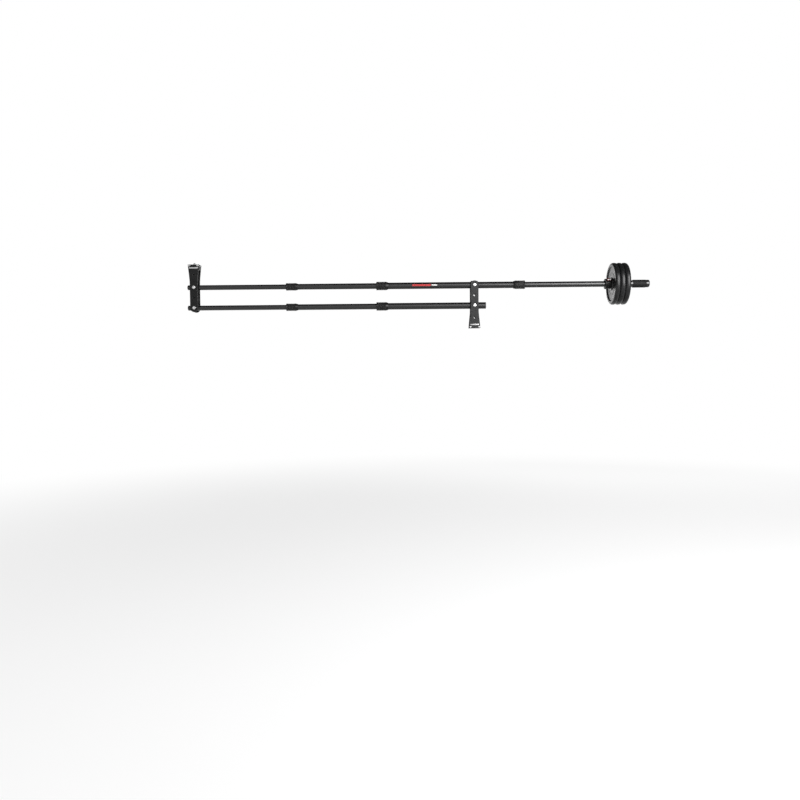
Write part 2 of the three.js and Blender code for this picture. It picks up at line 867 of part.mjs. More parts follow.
// The lever: an arm that hugs the ring from its pin over the top to a finger tab on the near side,
// with the pin's two ends standing out of its boss.
function collarLever() {
  const inner = collarDiameter / 2 + 2 * fit;
  const outer = inner + leverThickness;
  const tip = outer + leverTabLength;
  const end = THREE.MathUtils.degToRad(leverReachAngle);
  const arm = new THREE.Shape();
  arm.absarc(0, 0, outer, leverSlope, end, false);
  arm.lineTo(tip * Math.cos(end), tip * Math.sin(end));
  const tipEnd = end + leverTabTip / tip;
  arm.lineTo(tip * Math.cos(tipEnd), tip * Math.sin(tipEnd));
  arm.absarc(0, 0, inner, end + leverThickness / inner, leverSlope, true);
  const band = alongBar(
    new THREE.ExtrudeGeometry(arm, { depth: leverWidth, bevelEnabled: false, curveSegments: arcSteps }),
  );
  band.translate(leverCentre - leverWidth / 2, 0, 0);
  const pinHalf = leverWidth / 2 + fit + earThickness;
  const pin = turned(
    bar(leverPinDiameter / 2, leverCentre - pinHalf, leverCentre + pinHalf),
    pivotSteps,
  );
  const boss = turned(
    bar(leverBossDiameter / 2, leverCentre - leverWidth / 2, leverCentre + leverWidth / 2),
    pivotSteps,
  );
  [pin, boss].forEach((part) => part.translate(0, leverPivotRadius, 0).rotateX(leverSlope));
  return join(band, boss, pin);
}

const collar = new THREE.Group();
collar.position.x = collarEnd - fit - collarWidth;
piece(collar, "collar_ring", collarRing(), plasticBlack());
piece(collar, "collar_lever", collarLever(), leverRed());
upperArm.add(collar);

export default crane;
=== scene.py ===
"""Looks of a telescopic camera jib: its fine surfaces, finishes, studio and camera.

Lengths are in millimetres in the functions below and become metres when a mesh is made.
The arms lie along X, the pivots along Y, and Z is up.
"""

import math

import bmesh
import bpy
import numpy as np
from mathutils import Euler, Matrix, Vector


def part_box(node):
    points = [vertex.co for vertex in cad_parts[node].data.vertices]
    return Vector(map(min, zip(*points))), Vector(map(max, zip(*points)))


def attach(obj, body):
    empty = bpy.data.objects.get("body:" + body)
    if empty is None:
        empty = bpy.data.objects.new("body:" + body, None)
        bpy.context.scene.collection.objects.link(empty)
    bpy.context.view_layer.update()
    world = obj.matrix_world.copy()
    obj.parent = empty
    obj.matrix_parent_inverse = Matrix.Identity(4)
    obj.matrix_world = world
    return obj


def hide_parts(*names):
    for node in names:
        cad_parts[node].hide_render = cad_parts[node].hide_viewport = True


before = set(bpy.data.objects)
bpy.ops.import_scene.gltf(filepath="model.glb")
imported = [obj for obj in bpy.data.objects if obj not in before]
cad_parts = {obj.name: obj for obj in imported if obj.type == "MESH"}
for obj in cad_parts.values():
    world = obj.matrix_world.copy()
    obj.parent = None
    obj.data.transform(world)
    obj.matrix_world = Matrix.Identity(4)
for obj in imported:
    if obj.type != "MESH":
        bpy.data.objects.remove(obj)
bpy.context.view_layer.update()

MM = 0.001
TURN = 2 * math.pi

# Axes as (direction, first side, second side), so that the first side turns into the second
ALONG_X, ALONG_Y, ALONG_Z = (np.roll(np.eye(3), -step, axis=0) for step in range(3))


def facing(axis, direction):
    """The axis, or the same turned round so that its places run the other way."""
    return axis if direction > 0 else np.array([-axis[0], axis[2], axis[1]])


def extent(node):
    """Lowest corner, highest corner and middle of a CAD node's box, in millimetres."""
    low, high = (np.array(corner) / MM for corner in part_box(node))
    return low, high, (low + high) / 2


def new_object(name, data):
    thing = bpy.data.objects.new(name, data)
    bpy.context.scene.collection.objects.link(thing)
    return thing


# Profiles and grids

# How far past an arc a ring of points stands that ends the worn strip of an edge
GUARD = 0.9
# An arc takes at most this share of a side, and a corner flatter than this stays as it is
SIDE_SHARE, FLAT = 0.48, math.radians(88)


def quarter(count):
    """Angles from 0 to 90 degrees."""
    return np.linspace(0, math.pi / 2, count)


def strip(inner, outer, start, end):
    """A rectangle as a profile, from its inner radius outwards and back."""
    return [[inner, start], [outer, start], [outer, end], [inner, end]]


def rounded(profile, radius, steps=4):
    """A polyline of [distance, place] points with each inner corner replaced by an arc.

    At a corner, the arc touches both sides at radius / tan(half the corner's angle) from it, or at
    under half of the shorter side. Its points run evenly in angle round the arc's centre.
    """
    points = np.array(profile, float)
    radii = np.broadcast_to(radius, len(points))
    out = [points[:1]]
    for index in range(1, len(points) - 1):
        before, corner, after = points[index - 1 : index + 2]
        back_length, ahead_length = np.hypot(*(before - corner)), np.hypot(*(after - corner))
        back, ahead = (before - corner) / back_length, (after - corner) / ahead_length
        half = math.acos(float(np.clip(back @ ahead, -1, 1))) / 2
        if radii[index] <= 0 or half > FLAT:
            out.append(corner[None])
            continue
        shorter = min(back_length, ahead_length)
        reach = min(radii[index] / math.tan(half), SIDE_SHARE * shorter)
        size = reach * math.tan(half)
        toward = (back + ahead) / np.hypot(*(back + ahead))
        side = back - (back @ toward) * toward
        side /= np.hypot(*side)
        angles = np.linspace(half - math.pi / 2, math.pi / 2 - half, steps + 1)[:, None]
        centre = corner + toward * size / math.sin(half)
        arc = centre - size * (np.cos(angles) * toward + np.sin(angles) * side)
        guard = reach + GUARD
        if back_length > 2 * guard:
            arc = np.concatenate([[corner + back * guard], arc])
        if ahead_length > 2 * guard:
            arc = np.concatenate([arc, [corner + ahead * guard]])
        out.append(arc)
    out.append(points[-1:])
    return np.concatenate(out)


def rounded_loop(profile, radius):
    """The same for a closed polyline, whose first and last corners are rounded too."""
    points = np.array(profile, float)
    start = (points[0] + points[-1]) / 2
    radii = np.broadcast_to(radius, len(points))
    looped = np.concatenate([[start], points, [start]])
    return rounded(looped, np.concatenate([[0], radii, [0]]))[:-1]


def waved(radii, places, axis, centre, angles=None):
    """Rings round an axis: radii is rows by sides, or rows by 1, and places is rows.

    A point is centre + place * direction + radius * (cos angle * side one + sin angle * side two).
    """
    if angles is None:
        angles = np.linspace(0, TURN, radii.shape[1], endpoint=False)
    return (
        np.asarray(centre, float)
        + np.asarray(places, float)[:, None, None] * axis[0]
        + (radii * np.cos(angles))[..., None] * axis[1]
        + (radii * np.sin(angles))[..., None] * axis[2]
    )


def turned(profile, axis, centre, sides, first=0.0, last=TURN):
    """A profile of [radius, place] points turned about an axis, all round or between two angles."""
    profile = np.asarray(profile, float)
    angles = np.linspace(first, last, sides, endpoint=last - first < TURN)
    return waved(profile[:, :1], profile[:, 1], axis, centre, angles)


def rectangle_ring(half_first, half_second, corner, across, upward):
    """A rounded rectangle as a ring of points, the same count for any size of it.

    Each side's share starts and ends halfway round a corner, and its points are spaced by length,
    with the length on the corners counted three times. A circle is the case where both halves
    equal the corner. The order is bottom, right, top, left.
    """
    arc = 3 * corner * math.pi / 4
    sides = [(half_first, half_second, across), (half_second, half_first, upward)] * 2
    turns = []
    for (half, other, count), (sine, cosine) in zip(sides, [(0, 1), (1, 0), (0, -1), (-1, 0)]):
        flat = 2 * max(half - corner, 0)
        weighted = np.linspace(0, 2 * arc + flat, count, endpoint=False)
        on_first, on_second = weighted < arc, weighted > arc + flat
        swings = [np.clip(weighted, 0, arc), np.clip(weighted - arc - flat, 0, arc)]
        start, end = (swing / 3 / max(corner, 1e-9) for swing in swings)
        start = start - math.pi / 4
        along = np.clip(weighted - arc, 0, flat) - (half - corner)
        along = np.where(on_first, corner * np.sin(start) - (half - corner), along)
        along = np.where(on_second, corner * np.sin(end) + (half - corner), along)
        out = np.full(count, other, float)
        for part, angle in ((on_first, start), (on_second, end)):
            out = np.where(part, other - corner + corner * np.cos(angle), out)
        turns.append(np.stack([along * cosine + out * sine, along * sine - out * cosine], -1))
    return np.concatenate(turns)


def eased(sizes, soft, half, counts, place, pulled=(1, 1, 1), steps=5):
    """Rings of a rounded rectangle from -half to half, drawn in towards both ends.

    With s the sine and c the cosine of an angle from 0 to 90 degrees, the ring at half -
    soft * (1 - c) is smaller by soft * (1 - s) in those of its sizes that are pulled.
    """
    rows = []
    for angle in quarter(steps):
        drawn = np.array(sizes) - soft * (1 - math.sin(angle)) * np.array(pulled)
        ring = rectangle_ring(*drawn, *counts) + place
        rows.append((ring, half - soft * (1 - math.cos(angle))))
    return [(ring, -depth) for ring, depth in rows] + rows[::-1]


def grid_faces(rows, columns, start=0, wrap_rows=False, wrap_columns=True):
    """Quads of a grid of rows by columns whose first vertex has the number start."""
    numbers = start + np.arange(rows * columns).reshape(rows, columns)
    if wrap_rows:
        numbers = np.concatenate([numbers, numbers[:1]])
    if wrap_columns:
        numbers = np.concatenate([numbers, numbers[:, :1]], axis=1)
    quads = np.stack([numbers[:-1, :-1], numbers[:-1, 1:], numbers[1:, 1:], numbers[1:, :-1]], -1)
    return quads.reshape(-1, 4)


def mesh_from_grids(name, grids):
    """One closed mesh from several grids, each (points, wrap_rows, wrap_columns).

    Doubles are merged, slivers dropped, open ends closed and all faces turned outwards.
    """
    points, faces, start = [], [], 0
    for grid, wrap_rows, wrap_columns in grids:
        rows, columns = grid.shape[:2]
        points.append(grid.reshape(-1, 3))
        faces.append(grid_faces(rows, columns, start, wrap_rows, wrap_columns))
        start += rows * columns
    mesh = bpy.data.meshes.new(name)
    mesh.from_pydata((np.concatenate(points) * MM).tolist(), [], np.concatenate(faces).tolist())
    mesh.validate()
    weld = 1e-6
    work = bmesh.new()
    work.from_mesh(mesh)
    bmesh.ops.remove_doubles(work, verts=work.verts, dist=weld)
    bmesh.ops.dissolve_degenerate(work, edges=work.edges, dist=weld)
    rims = [edge for edge in work.edges if edge.is_boundary]
    if rims:
        bmesh.ops.holes_fill(work, edges=rims, sides=0)
    bmesh.ops.recalc_face_normals(work, faces=work.faces)
    work.to_mesh(mesh)
    work.free()
    return mesh


# An edge shows wear where the curvature times this radius passes the threshold
WEAR_RADIUS, WEAR_FROM = 1.2, 0.25


def read(items, key, kind, width=1):
    """One property of all of a mesh's items as an array of rows of width numbers."""
    values = np.zeros(len(items) * width, kind)
    items.foreach_get(key, values)
    return values.reshape(-1, width) if width > 1 else values


def wear_along_edges(mesh):
    """Writes the attribute edge: 0 on smooth or hollow places, 1 on sharp corners that stand out.

    Along a mesh edge, curvature is the angle between its two faces' normals over the distance
    between their middles. It counts where the second face lies below the first one's plane.
    A vertex takes the greatest curvature * WEAR_RADIUS - WEAR_FROM of its edges, from 0 to 1.
    """
    normals = read(mesh.polygons, "normal", np.float32, 3)
    centres = read(mesh.polygons, "center", np.float32, 3)
    owner = read(mesh.loops, "edge_index", np.int32)
    face_of_loop = np.repeat(np.arange(len(normals)), read(mesh.polygons, "loop_total", np.int32))
    order = np.argsort(owner, kind="stable")
    owner, face_of_loop = owner[order], face_of_loop[order]
    paired = np.flatnonzero(owner[:-1] == owner[1:])
    one, two, edge = face_of_loop[paired], face_of_loop[paired + 1], owner[paired]
    cosine = np.clip((normals[one] * normals[two]).sum(1), -1, 1)
    apart = centres[two] - centres[one]
    below = (apart * normals[one]).sum(1) < 0
    curve = np.arccos(cosine) / np.maximum(np.linalg.norm(apart, axis=1) / MM, 0.05) * below
    ends = read(mesh.edges, "vertices", np.int32, 2)[edge]
    values = np.zeros(len(mesh.vertices))
    for side in (0, 1):
        np.maximum.at(values, ends[:, side], np.clip(curve * WEAR_RADIUS - WEAR_FROM, 0, 1))
    layer = mesh.attributes.new("edge", "FLOAT", "POINT")
    layer.data.foreach_set("value", values.astype(np.float32))


def shade(mesh, sharp):
    """Smooth shading with sharp edges past an angle in degrees, and the wear along edges."""
    mesh.shade_smooth()
    mesh.set_sharp_from_angle(angle=math.radians(sharp))
    if "edge" in mesh.attributes:
        mesh.attributes.remove(mesh.attributes["edge"])
    wear_along_edges(mesh)


def piece(name, body, look, grids, replaced=None, sharp=35):
    """A finished piece: its mesh from grids, its look, the body it rides on, what it replaces.

    A look is a material and its slot; the piece takes only the material.
    """
    finish, slot = look
    mesh = mesh_from_grids(name, grids)
    shade(mesh, sharp)
    mesh.materials.append(finish)
    thing = new_object(name, mesh)
    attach(thing, body)
    if replaced:
        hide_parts(replaced)
    return thing


def lathe(name, body, look, profile, centre, replaced=None, axis=ALONG_X, sides=96, **how):
    """A profile turned into one piece, its corners rounded where how gives a radius.

    The profile is closed, or it starts and ends on the axis, which makes the piece solid.
    """
    solid = how.get("solid", False)
    if "radius" in how:
        profile = (rounded if solid else rounded_loop)(profile, how["radius"])
    grid = turned(profile, axis, centre, sides)
    piece(name, body, look, [(grid, not solid, True)], replaced, how.get("sharp", 35))


# Finishes

ARM_HEIGHT = extent("rear_tube")[2][2]


class Wiring:
    """The node tree of a material or world under construction."""

    def __init__(self, owner):
        owner.use_nodes = True
        self.tree = owner.node_tree
        self.tree.nodes.clear()

    def node(self, kind, inputs, **settings):
        """A new node whose inputs, by name or number, get a value or another node's output."""
        made = self.tree.nodes.new(kind)
        for key, value in settings.items():
            setattr(made, key, value)
        for key, value in inputs.items():
            if isinstance(value, bpy.types.NodeSocket):
                self.tree.links.new(value, made.inputs[key])
            else:
                made.inputs[key].default_value = value
        return made

    def calc(self, operation, *values):
        return self.node("ShaderNodeMath", dict(enumerate(values)), operation=operation).outputs[0]

    def distance(self, place, point):
        inputs = {0: place, 1: point}
        return self.node("ShaderNodeVectorMath", inputs, operation="DISTANCE").outputs["Value"]

    def ranged(self, value, low, high, to_low, to_high, **settings):
        inputs = dict(enumerate((value, low, high, to_low, to_high)))
        return self.node("ShaderNodeMapRange", inputs, **settings).outputs["Result"]

    def mix(self, factor, first, second):
        return self.node("ShaderNodeMixShader", {0: factor, 1: first, 2: second}).outputs[0]


class Finish(Wiring):
    """A piece's material under construction; every pattern is in Object coordinates."""

    def __init__(self, name):
        self.material = bpy.data.materials.new(name)
        super().__init__(self.material)
        self.shader = self.node("ShaderNodeBsdfPrincipled", {})
        self.node("ShaderNodeOutputMaterial", {"Surface": self.shader.outputs["BSDF"]})
        self.place = self.node("ShaderNodeTexCoord", {}).outputs["Object"]

    def noise(self, scale, detail, roughness, stretch=None):
        place = self.place
        if stretch:
            place = self.node("ShaderNodeMapping", {"Vector": place, "Scale": stretch}).outputs[0]
        inputs = {"Vector": place, "Scale": scale, "Detail": detail, "Roughness": roughness}
        return self.node("ShaderNodeTexNoise", inputs).outputs["Fac"]

    def spread(self, noise, low, high):
        """A noise's usual range of 0.3 to 0.7 as the range from low to high."""
        return self.ranged(noise, 0.3, 0.7, low, high)

    def blend(self, factor, first, second):
        """Two colours blended, each a number for a grey, a tuple or another node's output."""
        inputs = {0: factor}
        for socket, value in ((6, first), (7, second)):
            value = grey(value) if isinstance(value, float) else value
            inputs[socket] = (*value, 1) if isinstance(value, tuple) else value
        return self.node("ShaderNodeMix", inputs, data_type="RGBA").outputs[2]

    def worn(self, color, bare, share, scale):
        """The colour, with a barer one along edges wherever a noise lets it through."""
        broken = self.ranged(self.noise(scale, 4, 0.7), 0.40, 0.60, 0, 1)
        edge = self.node("ShaderNodeAttribute", {}, attribute_name="edge").outputs["Fac"]
        mask = self.calc("MULTIPLY", edge, broken)
        return self.blend(self.ranged(mask, 0.1, 0.9, 0, share), color, bare)

    def done(self, color, bare, rough, bumps, level=0.5, metal=0.0, ior=1.5):
        """The material: its colour and worn edges, roughness, bumps and plain sockets.

        A bump is (height, depth in millimetres, strength) and goes on top of the one before.
        """
        inputs, link = self.shader.inputs, self.tree.links.new
        link(self.worn(color, *bare), inputs["Base Color"])
        link(rough, inputs["Roughness"])
        below = {}
        for height, depth, strength in bumps:
            raised = {"Height": height, "Distance": depth * MM, "Strength": strength, **below}
            below = {"Normal": self.node("ShaderNodeBump", raised).outputs["Normal"]}
        link(below["Normal"], inputs["Normal"])
        inputs["Metallic"].default_value = metal
        inputs["IOR"].default_value = ior
        inputs["Specular IOR Level"].default_value = level
        return self.material


def grey(value, tint=0.0):
    """A grey with a little blue in it for a tint above zero."""
    return (value * (1 - tint), value, value * (1 + tint))


def coat(name, fine, broad, first, second, bare, rough, bumps, **sockets):
    """A plain finish: a broad noise blends two colours and sets the roughness over its range.

    The first bump's height is the fine noise and the second one's is the broad noise.
    """
    made = Finish(name)
    fine, broad = made.noise(*fine), made.noise(*broad)
    bumps = [(noise, *bump) for noise, bump in zip((fine, broad), bumps)]
    base = made.blend(broad, first, second)
    return made.done(base, bare, made.spread(broad, *rough), bumps, **sockets)


def black_tube():
    """Black anodised tube: fine draw lines along it, handling smudges, a few rubbed streaks."""
    made = Finish("black_anodised_tube")
    lines = made.noise(1, 4, 0.6, (5, 900, 900))
    streak = made.ranged(made.noise(1, 3, 0.6, (3, 240, 240)), 0.66, 0.82, 0, 0.2)
    base = made.blend(lines, grey(0.0042, 0.03), grey(0.0075, 0.03))
    smudge = made.spread(made.noise(20, 4, 0.6), 0.24, 0.31)
    rough = made.calc("ADD", smudge, made.ranged(lines, 0, 1, -0.02, 0.02))
    rubbed = made.blend(streak, base, 0.014)
    return made.done(rubbed, (0.30, 0.8, 500), rough, [(lines, 0.003, 0.4)])


def wrinkled_paint(name, low, high, tint, shine):
    """Wrinkled powder coat on a plate: fine grain, cloudy mottling, paint rubbed off the edges."""
    made = Finish(name)
    grain, clouds = made.noise(1500, 3, 0.6), made.noise(210, 4, 0.65)
    mottled = made.calc("ADD", clouds, made.spread(made.noise(24, 3, 0.5), -0.12, 0.12))
    paint = made.blend(made.spread(mottled, 0, 1), grey(low, tint), grey(high, tint))
    bumps = [(grain, 0.05, 0.5), (clouds, 0.06, 0.35)]
    rough = made.spread(clouds, 0.42, 0.56)
    return made.done(paint, (0.26, 0.7, 420), rough, bumps, level=shine)


def machined_black():
    """Hard black anodising on machined blocks: cutter lines across, bare metal at the corners."""
    made = Finish("black_machined_block")
    lines, clouds = made.noise(1, 2, 0.5, (260, 40, 2600)), made.noise(90, 3, 0.5)
    base, rough = made.blend(clouds, 0.006, 0.012), made.spread(lines, 0.46, 0.60)
    bumps = [(lines, 0.012, 0.5), (clouds, 0.02, 0.2)]
    return made.done(base, (0.32, 0.75, 600), rough, bumps, level=0.12)


def gloss_plastic(name, color, rough_low, rough_high, level=0.5):
    """Moulded plastic: faint orange peel, hairline scratches, whitened corners."""
    made = Finish(name)
    peel, hair = made.noise(340, 2, 0.5), made.noise(1, 2, 0.4, (90, 1400, 900))
    scratched = made.blend(made.ranged(hair, 0.62, 0.75, 0, 0.2), color, 0.05)
    haze = made.spread(made.noise(60, 4, 0.6), rough_low, rough_high)
    rough = made.calc("ADD", haze, made.ranged(hair, 0.6, 0.75, 0, 0.08))
    bare = (tuple(0.06 + 0.8 * channel for channel in color), 0.6, 700)
    return made.done(scratched, bare, rough, [(peel, 0.015, 0.35)], level=level)


def grip_rubber():
    """Handle rubber: matt and pebbled, dusty in the hollows, polished a little on the ribs."""
    made = Finish("handle_rubber")
    pebble = made.node("ShaderNodeTexVoronoi", {"Vector": made.place, "Scale": 900})
    dust = made.noise(70, 4, 0.6)
    base = made.blend(made.ranged(dust, 0.35, 0.7, 0, 1), 0.005, 0.010)
    bumps = [(pebble.outputs["Distance"], 0.05, 0.6), (dust, 0.05, 0.2)]
    rough = made.spread(dust, 0.5, 0.7)
    return made.done(base, (0.03, 0.5, 300), rough, bumps, level=0.14)


def fibre_plastic():
    """Glass-filled plastic of the lock collar: near black, with short pale fibres showing."""
    made = Finish("collar_plastic")
    fibre, clouds = made.noise(1, 2, 0.5, (420, 1700, 1700)), made.noise(160, 3, 0.6)
    base = made.blend(made.ranged(fibre, 0.6, 0.75, 0, 0.5), 0.004, 0.02)
    bumps = [(fibre, 0.015, 0.5), (clouds, 0.02, 0.2)]
    rough = made.spread(clouds, 0.4, 0.55)
    return made.done(base, (0.05, 0.6, 400), rough, bumps, level=0.25)


def bright_steel(name, low, high, rough_low, rough_high, edge=0.92):
    """Plated steel: fine turning marks, slight stains, and plating polished along the edges."""
    made = Finish(name)
    marks, stain = made.noise(1, 3, 0.6, (1200, 90, 1200)), made.noise(260, 4, 0.6)
    base = made.blend(made.spread(stain, 0, 1), low, high)
    stained = made.spread(stain, rough_low, rough_high)
    rough = made.calc("ADD", stained, made.spread(marks, -0.03, 0.05))
    return made.done(base, (edge, 0.8, 500), rough, [(marks, 0.008, 0.4)], metal=1.0)


def weight_enamel():
    """Baked enamel over cast iron: sand-cast lumps under satin paint, rubbed on the raised rims.

    The rolled rim, from about 90 mm off the bar's axis, is dulled by handling.
    """
    made = Finish("enamelled_cast_iron")
    lumps, sand = made.noise(330, 4, 0.62), made.noise(1400, 2, 0.6)
    both = made.calc("ADD", lumps, made.noise(38, 3, 0.55))
    base = made.blend(made.ranged(both, 0.75, 1.25, 0, 1), grey(0.004, 0.04), grey(0.010, 0.04))
    flat = made.node("ShaderNodeVectorMath", {0: made.place, 1: (0, 1, 1)}, operation="MULTIPLY")
    away = made.distance(flat.outputs[0], (0, 0, ARM_HEIGHT * MM))
    handled = made.ranged(away, 0.086, 0.094, 0, 0.06)
    rough = made.calc("ADD", made.spread(lumps, 0.22, 0.30), handled)
    bumps = [(lumps, 0.05, 0.4), (sand, 0.012, 0.4)]
    return made.done(base, (0.10, 0.6, 240), rough, bumps, level=0.3)


def stripe_vinyl(name, color):
    """A band of adhesive vinyl: slight orange peel, dulled patches, lifted pale edges."""
    made = Finish(name)
    haze = made.noise(120, 3, 0.6)
    darker = tuple(0.8 * channel for channel in color)
    paler = tuple(0.1 + 0.9 * channel for channel in color)
    base, rough = made.blend(made.spread(haze, 0, 1), darker, color), made.spread(haze, 0.28, 0.42)
    return made.done(base, (paler, 0.4, 500), rough, [(haze, 0.01, 0.4)], ior=1.48)


# Looks, each a finish and its slot

PAINT = wrinkled_paint("bracket_powder_coat", 0.008, 0.015, 0.03, 0.22), "bracket_paint"
# The head's copy of the powder coat is darker than the fulcrum's: painted shade for the weaker
# light at the head.
SHADED_HEAD_PAINT = wrinkled_paint("head_powder_coat_painted_shade", 0.003, 0.008, 0.02, 0.18), "bracket_paint"
TUBE = black_tube(), "tube_black"
BLOCK = machined_black(), "block_black"
GLOSS = gloss_plastic("glossy_black_plastic", grey(0.006), 0.10, 0.20), "gloss_black"
SATIN = gloss_plastic("satin_black_plastic", grey(0.006), 0.26, 0.36, 0.18), "gloss_black"
RUBBER = grip_rubber(), "grip_rubber"
COLLAR = fibre_plastic(), "collar_black"
STEEL = bright_steel("plated_steel", 0.44, 0.62, 0.14, 0.24), "screw_steel"
TIE_STEEL = bright_steel("tie_bar_steel", 0.40, 0.54, 0.26, 0.38), "tie_steel"
# A darker copy of the plated steel, with duller edges, for the fulcrum's tie bar and bolts: painted
# shade against the stronger light there.
SHADED_FOOT_TIE_STEEL = bright_steel("foot_steel_painted_shade", 0.24, 0.33, 0.26, 0.38, 0.5), "tie_steel"
SHADED_FOOT_BOLT_STEEL = SHADED_FOOT_TIE_STEEL[0], "screw_steel"
ENAMEL = weight_enamel(), "weight_iron"
LEVER_RED = gloss_plastic("dark_red_plastic", (0.16, 0.006, 0.006), 0.08, 0.16), "lever_red"
# Near-white gloss plastic standing in for the lever's highlight: a painted highlight.
PAINTED_HIGHLIGHT_INLAY = gloss_plastic("painted_highlight_inlay", (0.90, 0.89, 0.88), 0.10, 0.2), "collet_nylon"
STRIPE_RED = stripe_vinyl("red_vinyl", (0.36, 0.010, 0.012)), "lever_red"
STRIPE_WHITE = stripe_vinyl("white_vinyl", (0.72, 0.72, 0.70)), "collet_nylon"

# Polished black anodising of the bar's shoulder: glossy, with fine turning rings
rings, haze = (1, 3, 0.5, (1500, 20, 20)), (80, 3, 0.6)
bare, rough, bumps = (0.4, 0.8, 500), (0.08, 0.14), [(0.004, 0.4)]
shoulder = coat("polished_black_shoulder", rings, haze, 0.006, 0.010, bare, rough, bumps, ior=1.6)
POLISHED = shoulder, "gloss_black"

# Ribbed grips: moulded plastic with a fine spark texture, paler on the rubbed ribs
spark, clouds = (1900, 2, 0.6), (140, 3, 0.6)
bare, rough, bumps = (0.04, 0.6, 260), (0.22, 0.32), [(0.02, 0.5), (0.02, 0.2)]
ribbed = ("ribbed_grip_plastic", spark, clouds, 0.003, 0.006, bare, rough, bumps)
NUT = coat(*ribbed, level=0.26), "nut_black"

# Bearing bronze: slightly tarnished, bright where it rubs
tarnish, dark, light = (500, 4, 0.6), (0.23, 0.14, 0.06), (0.48, 0.33, 0.16)
bare, rough, bumps = ((0.8, 0.6, 0.34), 0.8, 500), (0.28, 0.5), [(0.01, 0.4)]
bronze = coat("bearing_bronze", tarnish, tarnish, dark, light, bare, rough, bumps, metal=1.0)
BRONZE = bronze, "bush_bronze"

# Milky nylon of the split collets, which are shown as their CAD nodes
clouds, dark, light = (300, 3, 0.6), (0.55, 0.54, 0.5), (0.72, 0.71, 0.67)
bare, rough, bumps = (0.85, 0.5, 500), (0.38, 0.52), [(0.02, 0.4)]
NYLON = coat("collet_nylon", clouds, clouds, dark, light, bare, rough, bumps, ior=1.53)

# Brackets, whose plates are drawn as [across, reach] from the upper pivot towards the foot

PLATE_WIDTH, PLATE_THICKNESS, PLATE_INNER = 39.0, 6.0, 19.5
FLARE_START, FLARE_BEND, FLARE_RADIUS = 10.0, 45.0, 430.0
CHAMFER, FACE_INSET, BACK_INSET = 2.0, 2.4, 0.4
SLOT_HALF_WIDTH, SLOT_HALF_HEIGHT, SLOT_CORNER = 21.5, 3.5, 2.0
SLOT_REACH, FOOT_REACH = 94.3, 111.0
BUSH_HOLE, SPOT_RADIUS, SPOT_DEPTH = 7.2, 9.5, 2.5
# Cells of a plate's face: the hole in each, its reach, and the points up each side of the cell
CELLS = [("pivot", -100, 30), ("middle", -50, 16), ("pivot", 0, 20)]
CELLS += [("foot", 61, 16), ("slot", SLOT_REACH, 30)]
CELL_BOUNDS = [-101.5, -72.0, -27.0, 34.0, 78.0, FOOT_REACH]
PLAIN_HOLES = {"middle": 6.0, "foot": 4.5}
ACROSS = 36


def half_width(reach):
    """Half the plate's width: straight, then bent**2 / (2 * radius), then a straight slope."""
    bent = np.clip(reach - FLARE_START, 0, FLARE_BEND)
    straight = np.maximum(reach - FLARE_START - FLARE_BEND, 0)
    return PLATE_WIDTH / 2 + bent**2 / (2 * FLARE_RADIUS) + straight * FLARE_BEND / FLARE_RADIUS


def cell_ring(cell, inset):
    """The border of one cell of a plate's face: bottom, right, top and left.

    Cells share their straight borders. The lowest cell's bottom and sides follow the round end,
    and the top one's upper border is the foot. Inset pulls in only what lies on the outline.
    """
    (low, high), upward = CELL_BOUNDS[cell : cell + 2], CELLS[cell][2]
    top_at = high - inset if high == FOOT_REACH else high

    def straight(reach, level):
        across = np.linspace(-reach, reach, ACROSS, endpoint=False)
        return np.stack([across, np.full(ACROSS, level)], -1)

    def round_end(first, last, count):
        angles = math.pi / 4 * np.linspace(first, last, count, endpoint=False)
        return np.stack([np.cos(angles), np.sin(angles)], -1) * (PLATE_WIDTH / 2 - inset) + [0, low]

    bottom, side = straight(half_width(low) - inset, low), np.zeros((0, 2))
    if cell == 0:
        bottom, side = round_end(-3, -1, ACROSS), round_end(-1, 0, upward // 2)
        upward -= upward // 2
    levels = np.linspace(low, top_at, upward, endpoint=False)
    side = np.concatenate([side, np.stack([half_width(levels) - inset, levels], -1)])
    top = straight(inset - half_width(high), top_at)
    left = np.concatenate([top[:1], side[:0:-1]]) * [-1, 1]
    return bottom, side, top, left


def outline(inset):
    """The plate's whole border: the cells' right sides, the foot, the left sides, the round end."""
    rings = [cell_ring(cell, inset) for cell in range(len(CELLS))]
    parts = [ring[1] for ring in rings] + [rings[-1][2]] + [ring[3] for ring in rings[::-1]]
    return np.concatenate(parts + [rings[0][0]])


def hole_rings(kind, reach, upward):
    """Rows of (outline, depth) from the inner face through a hole to the outer face."""
    top, floor, spot = PLATE_THICKNESS, PLATE_THICKNESS - SPOT_DEPTH, SPOT_RADIUS - BUSH_HOLE
    rows = [(0.3, 0), (0, 0.3)]
    if kind == "slot":
        sizes = [SLOT_HALF_WIDTH, SLOT_HALF_HEIGHT, SLOT_CORNER]
        rows += [(0, top - 0.35), (0.08, top - 0.15), (0.25, top)]
    elif kind == "pivot":
        sizes = [BUSH_HOLE] * 3
        rows += [(0, floor - 0.2), (0.2, floor), (spot - 0.25, floor), (spot, floor + 0.25)]
        rows += [(spot, top - 0.55), (spot + 0.15, top - 0.2), (spot + 0.5, top)]
    else:
        sizes = [PLAIN_HOLES[kind]] * 3
        rows += [(0, top - 0.6), (0.15, top - 0.25), (0.5, top)]
    return [
        (rectangle_ring(*(size + grow for size in sizes), ACROSS, upward) + [0, reach], depth)
        for grow, depth in rows
    ]


def upright(rows, centre_x, seat, up):
    """Rows of (outline, depth) of a bracket as points, the seat's face at the foot's reach."""
    corner = [centre_x, seat - up * FOOT_REACH]
    return np.stack([np.insert(flat * [1, up] + corner, 1, depth, axis=1) for flat, depth in rows])


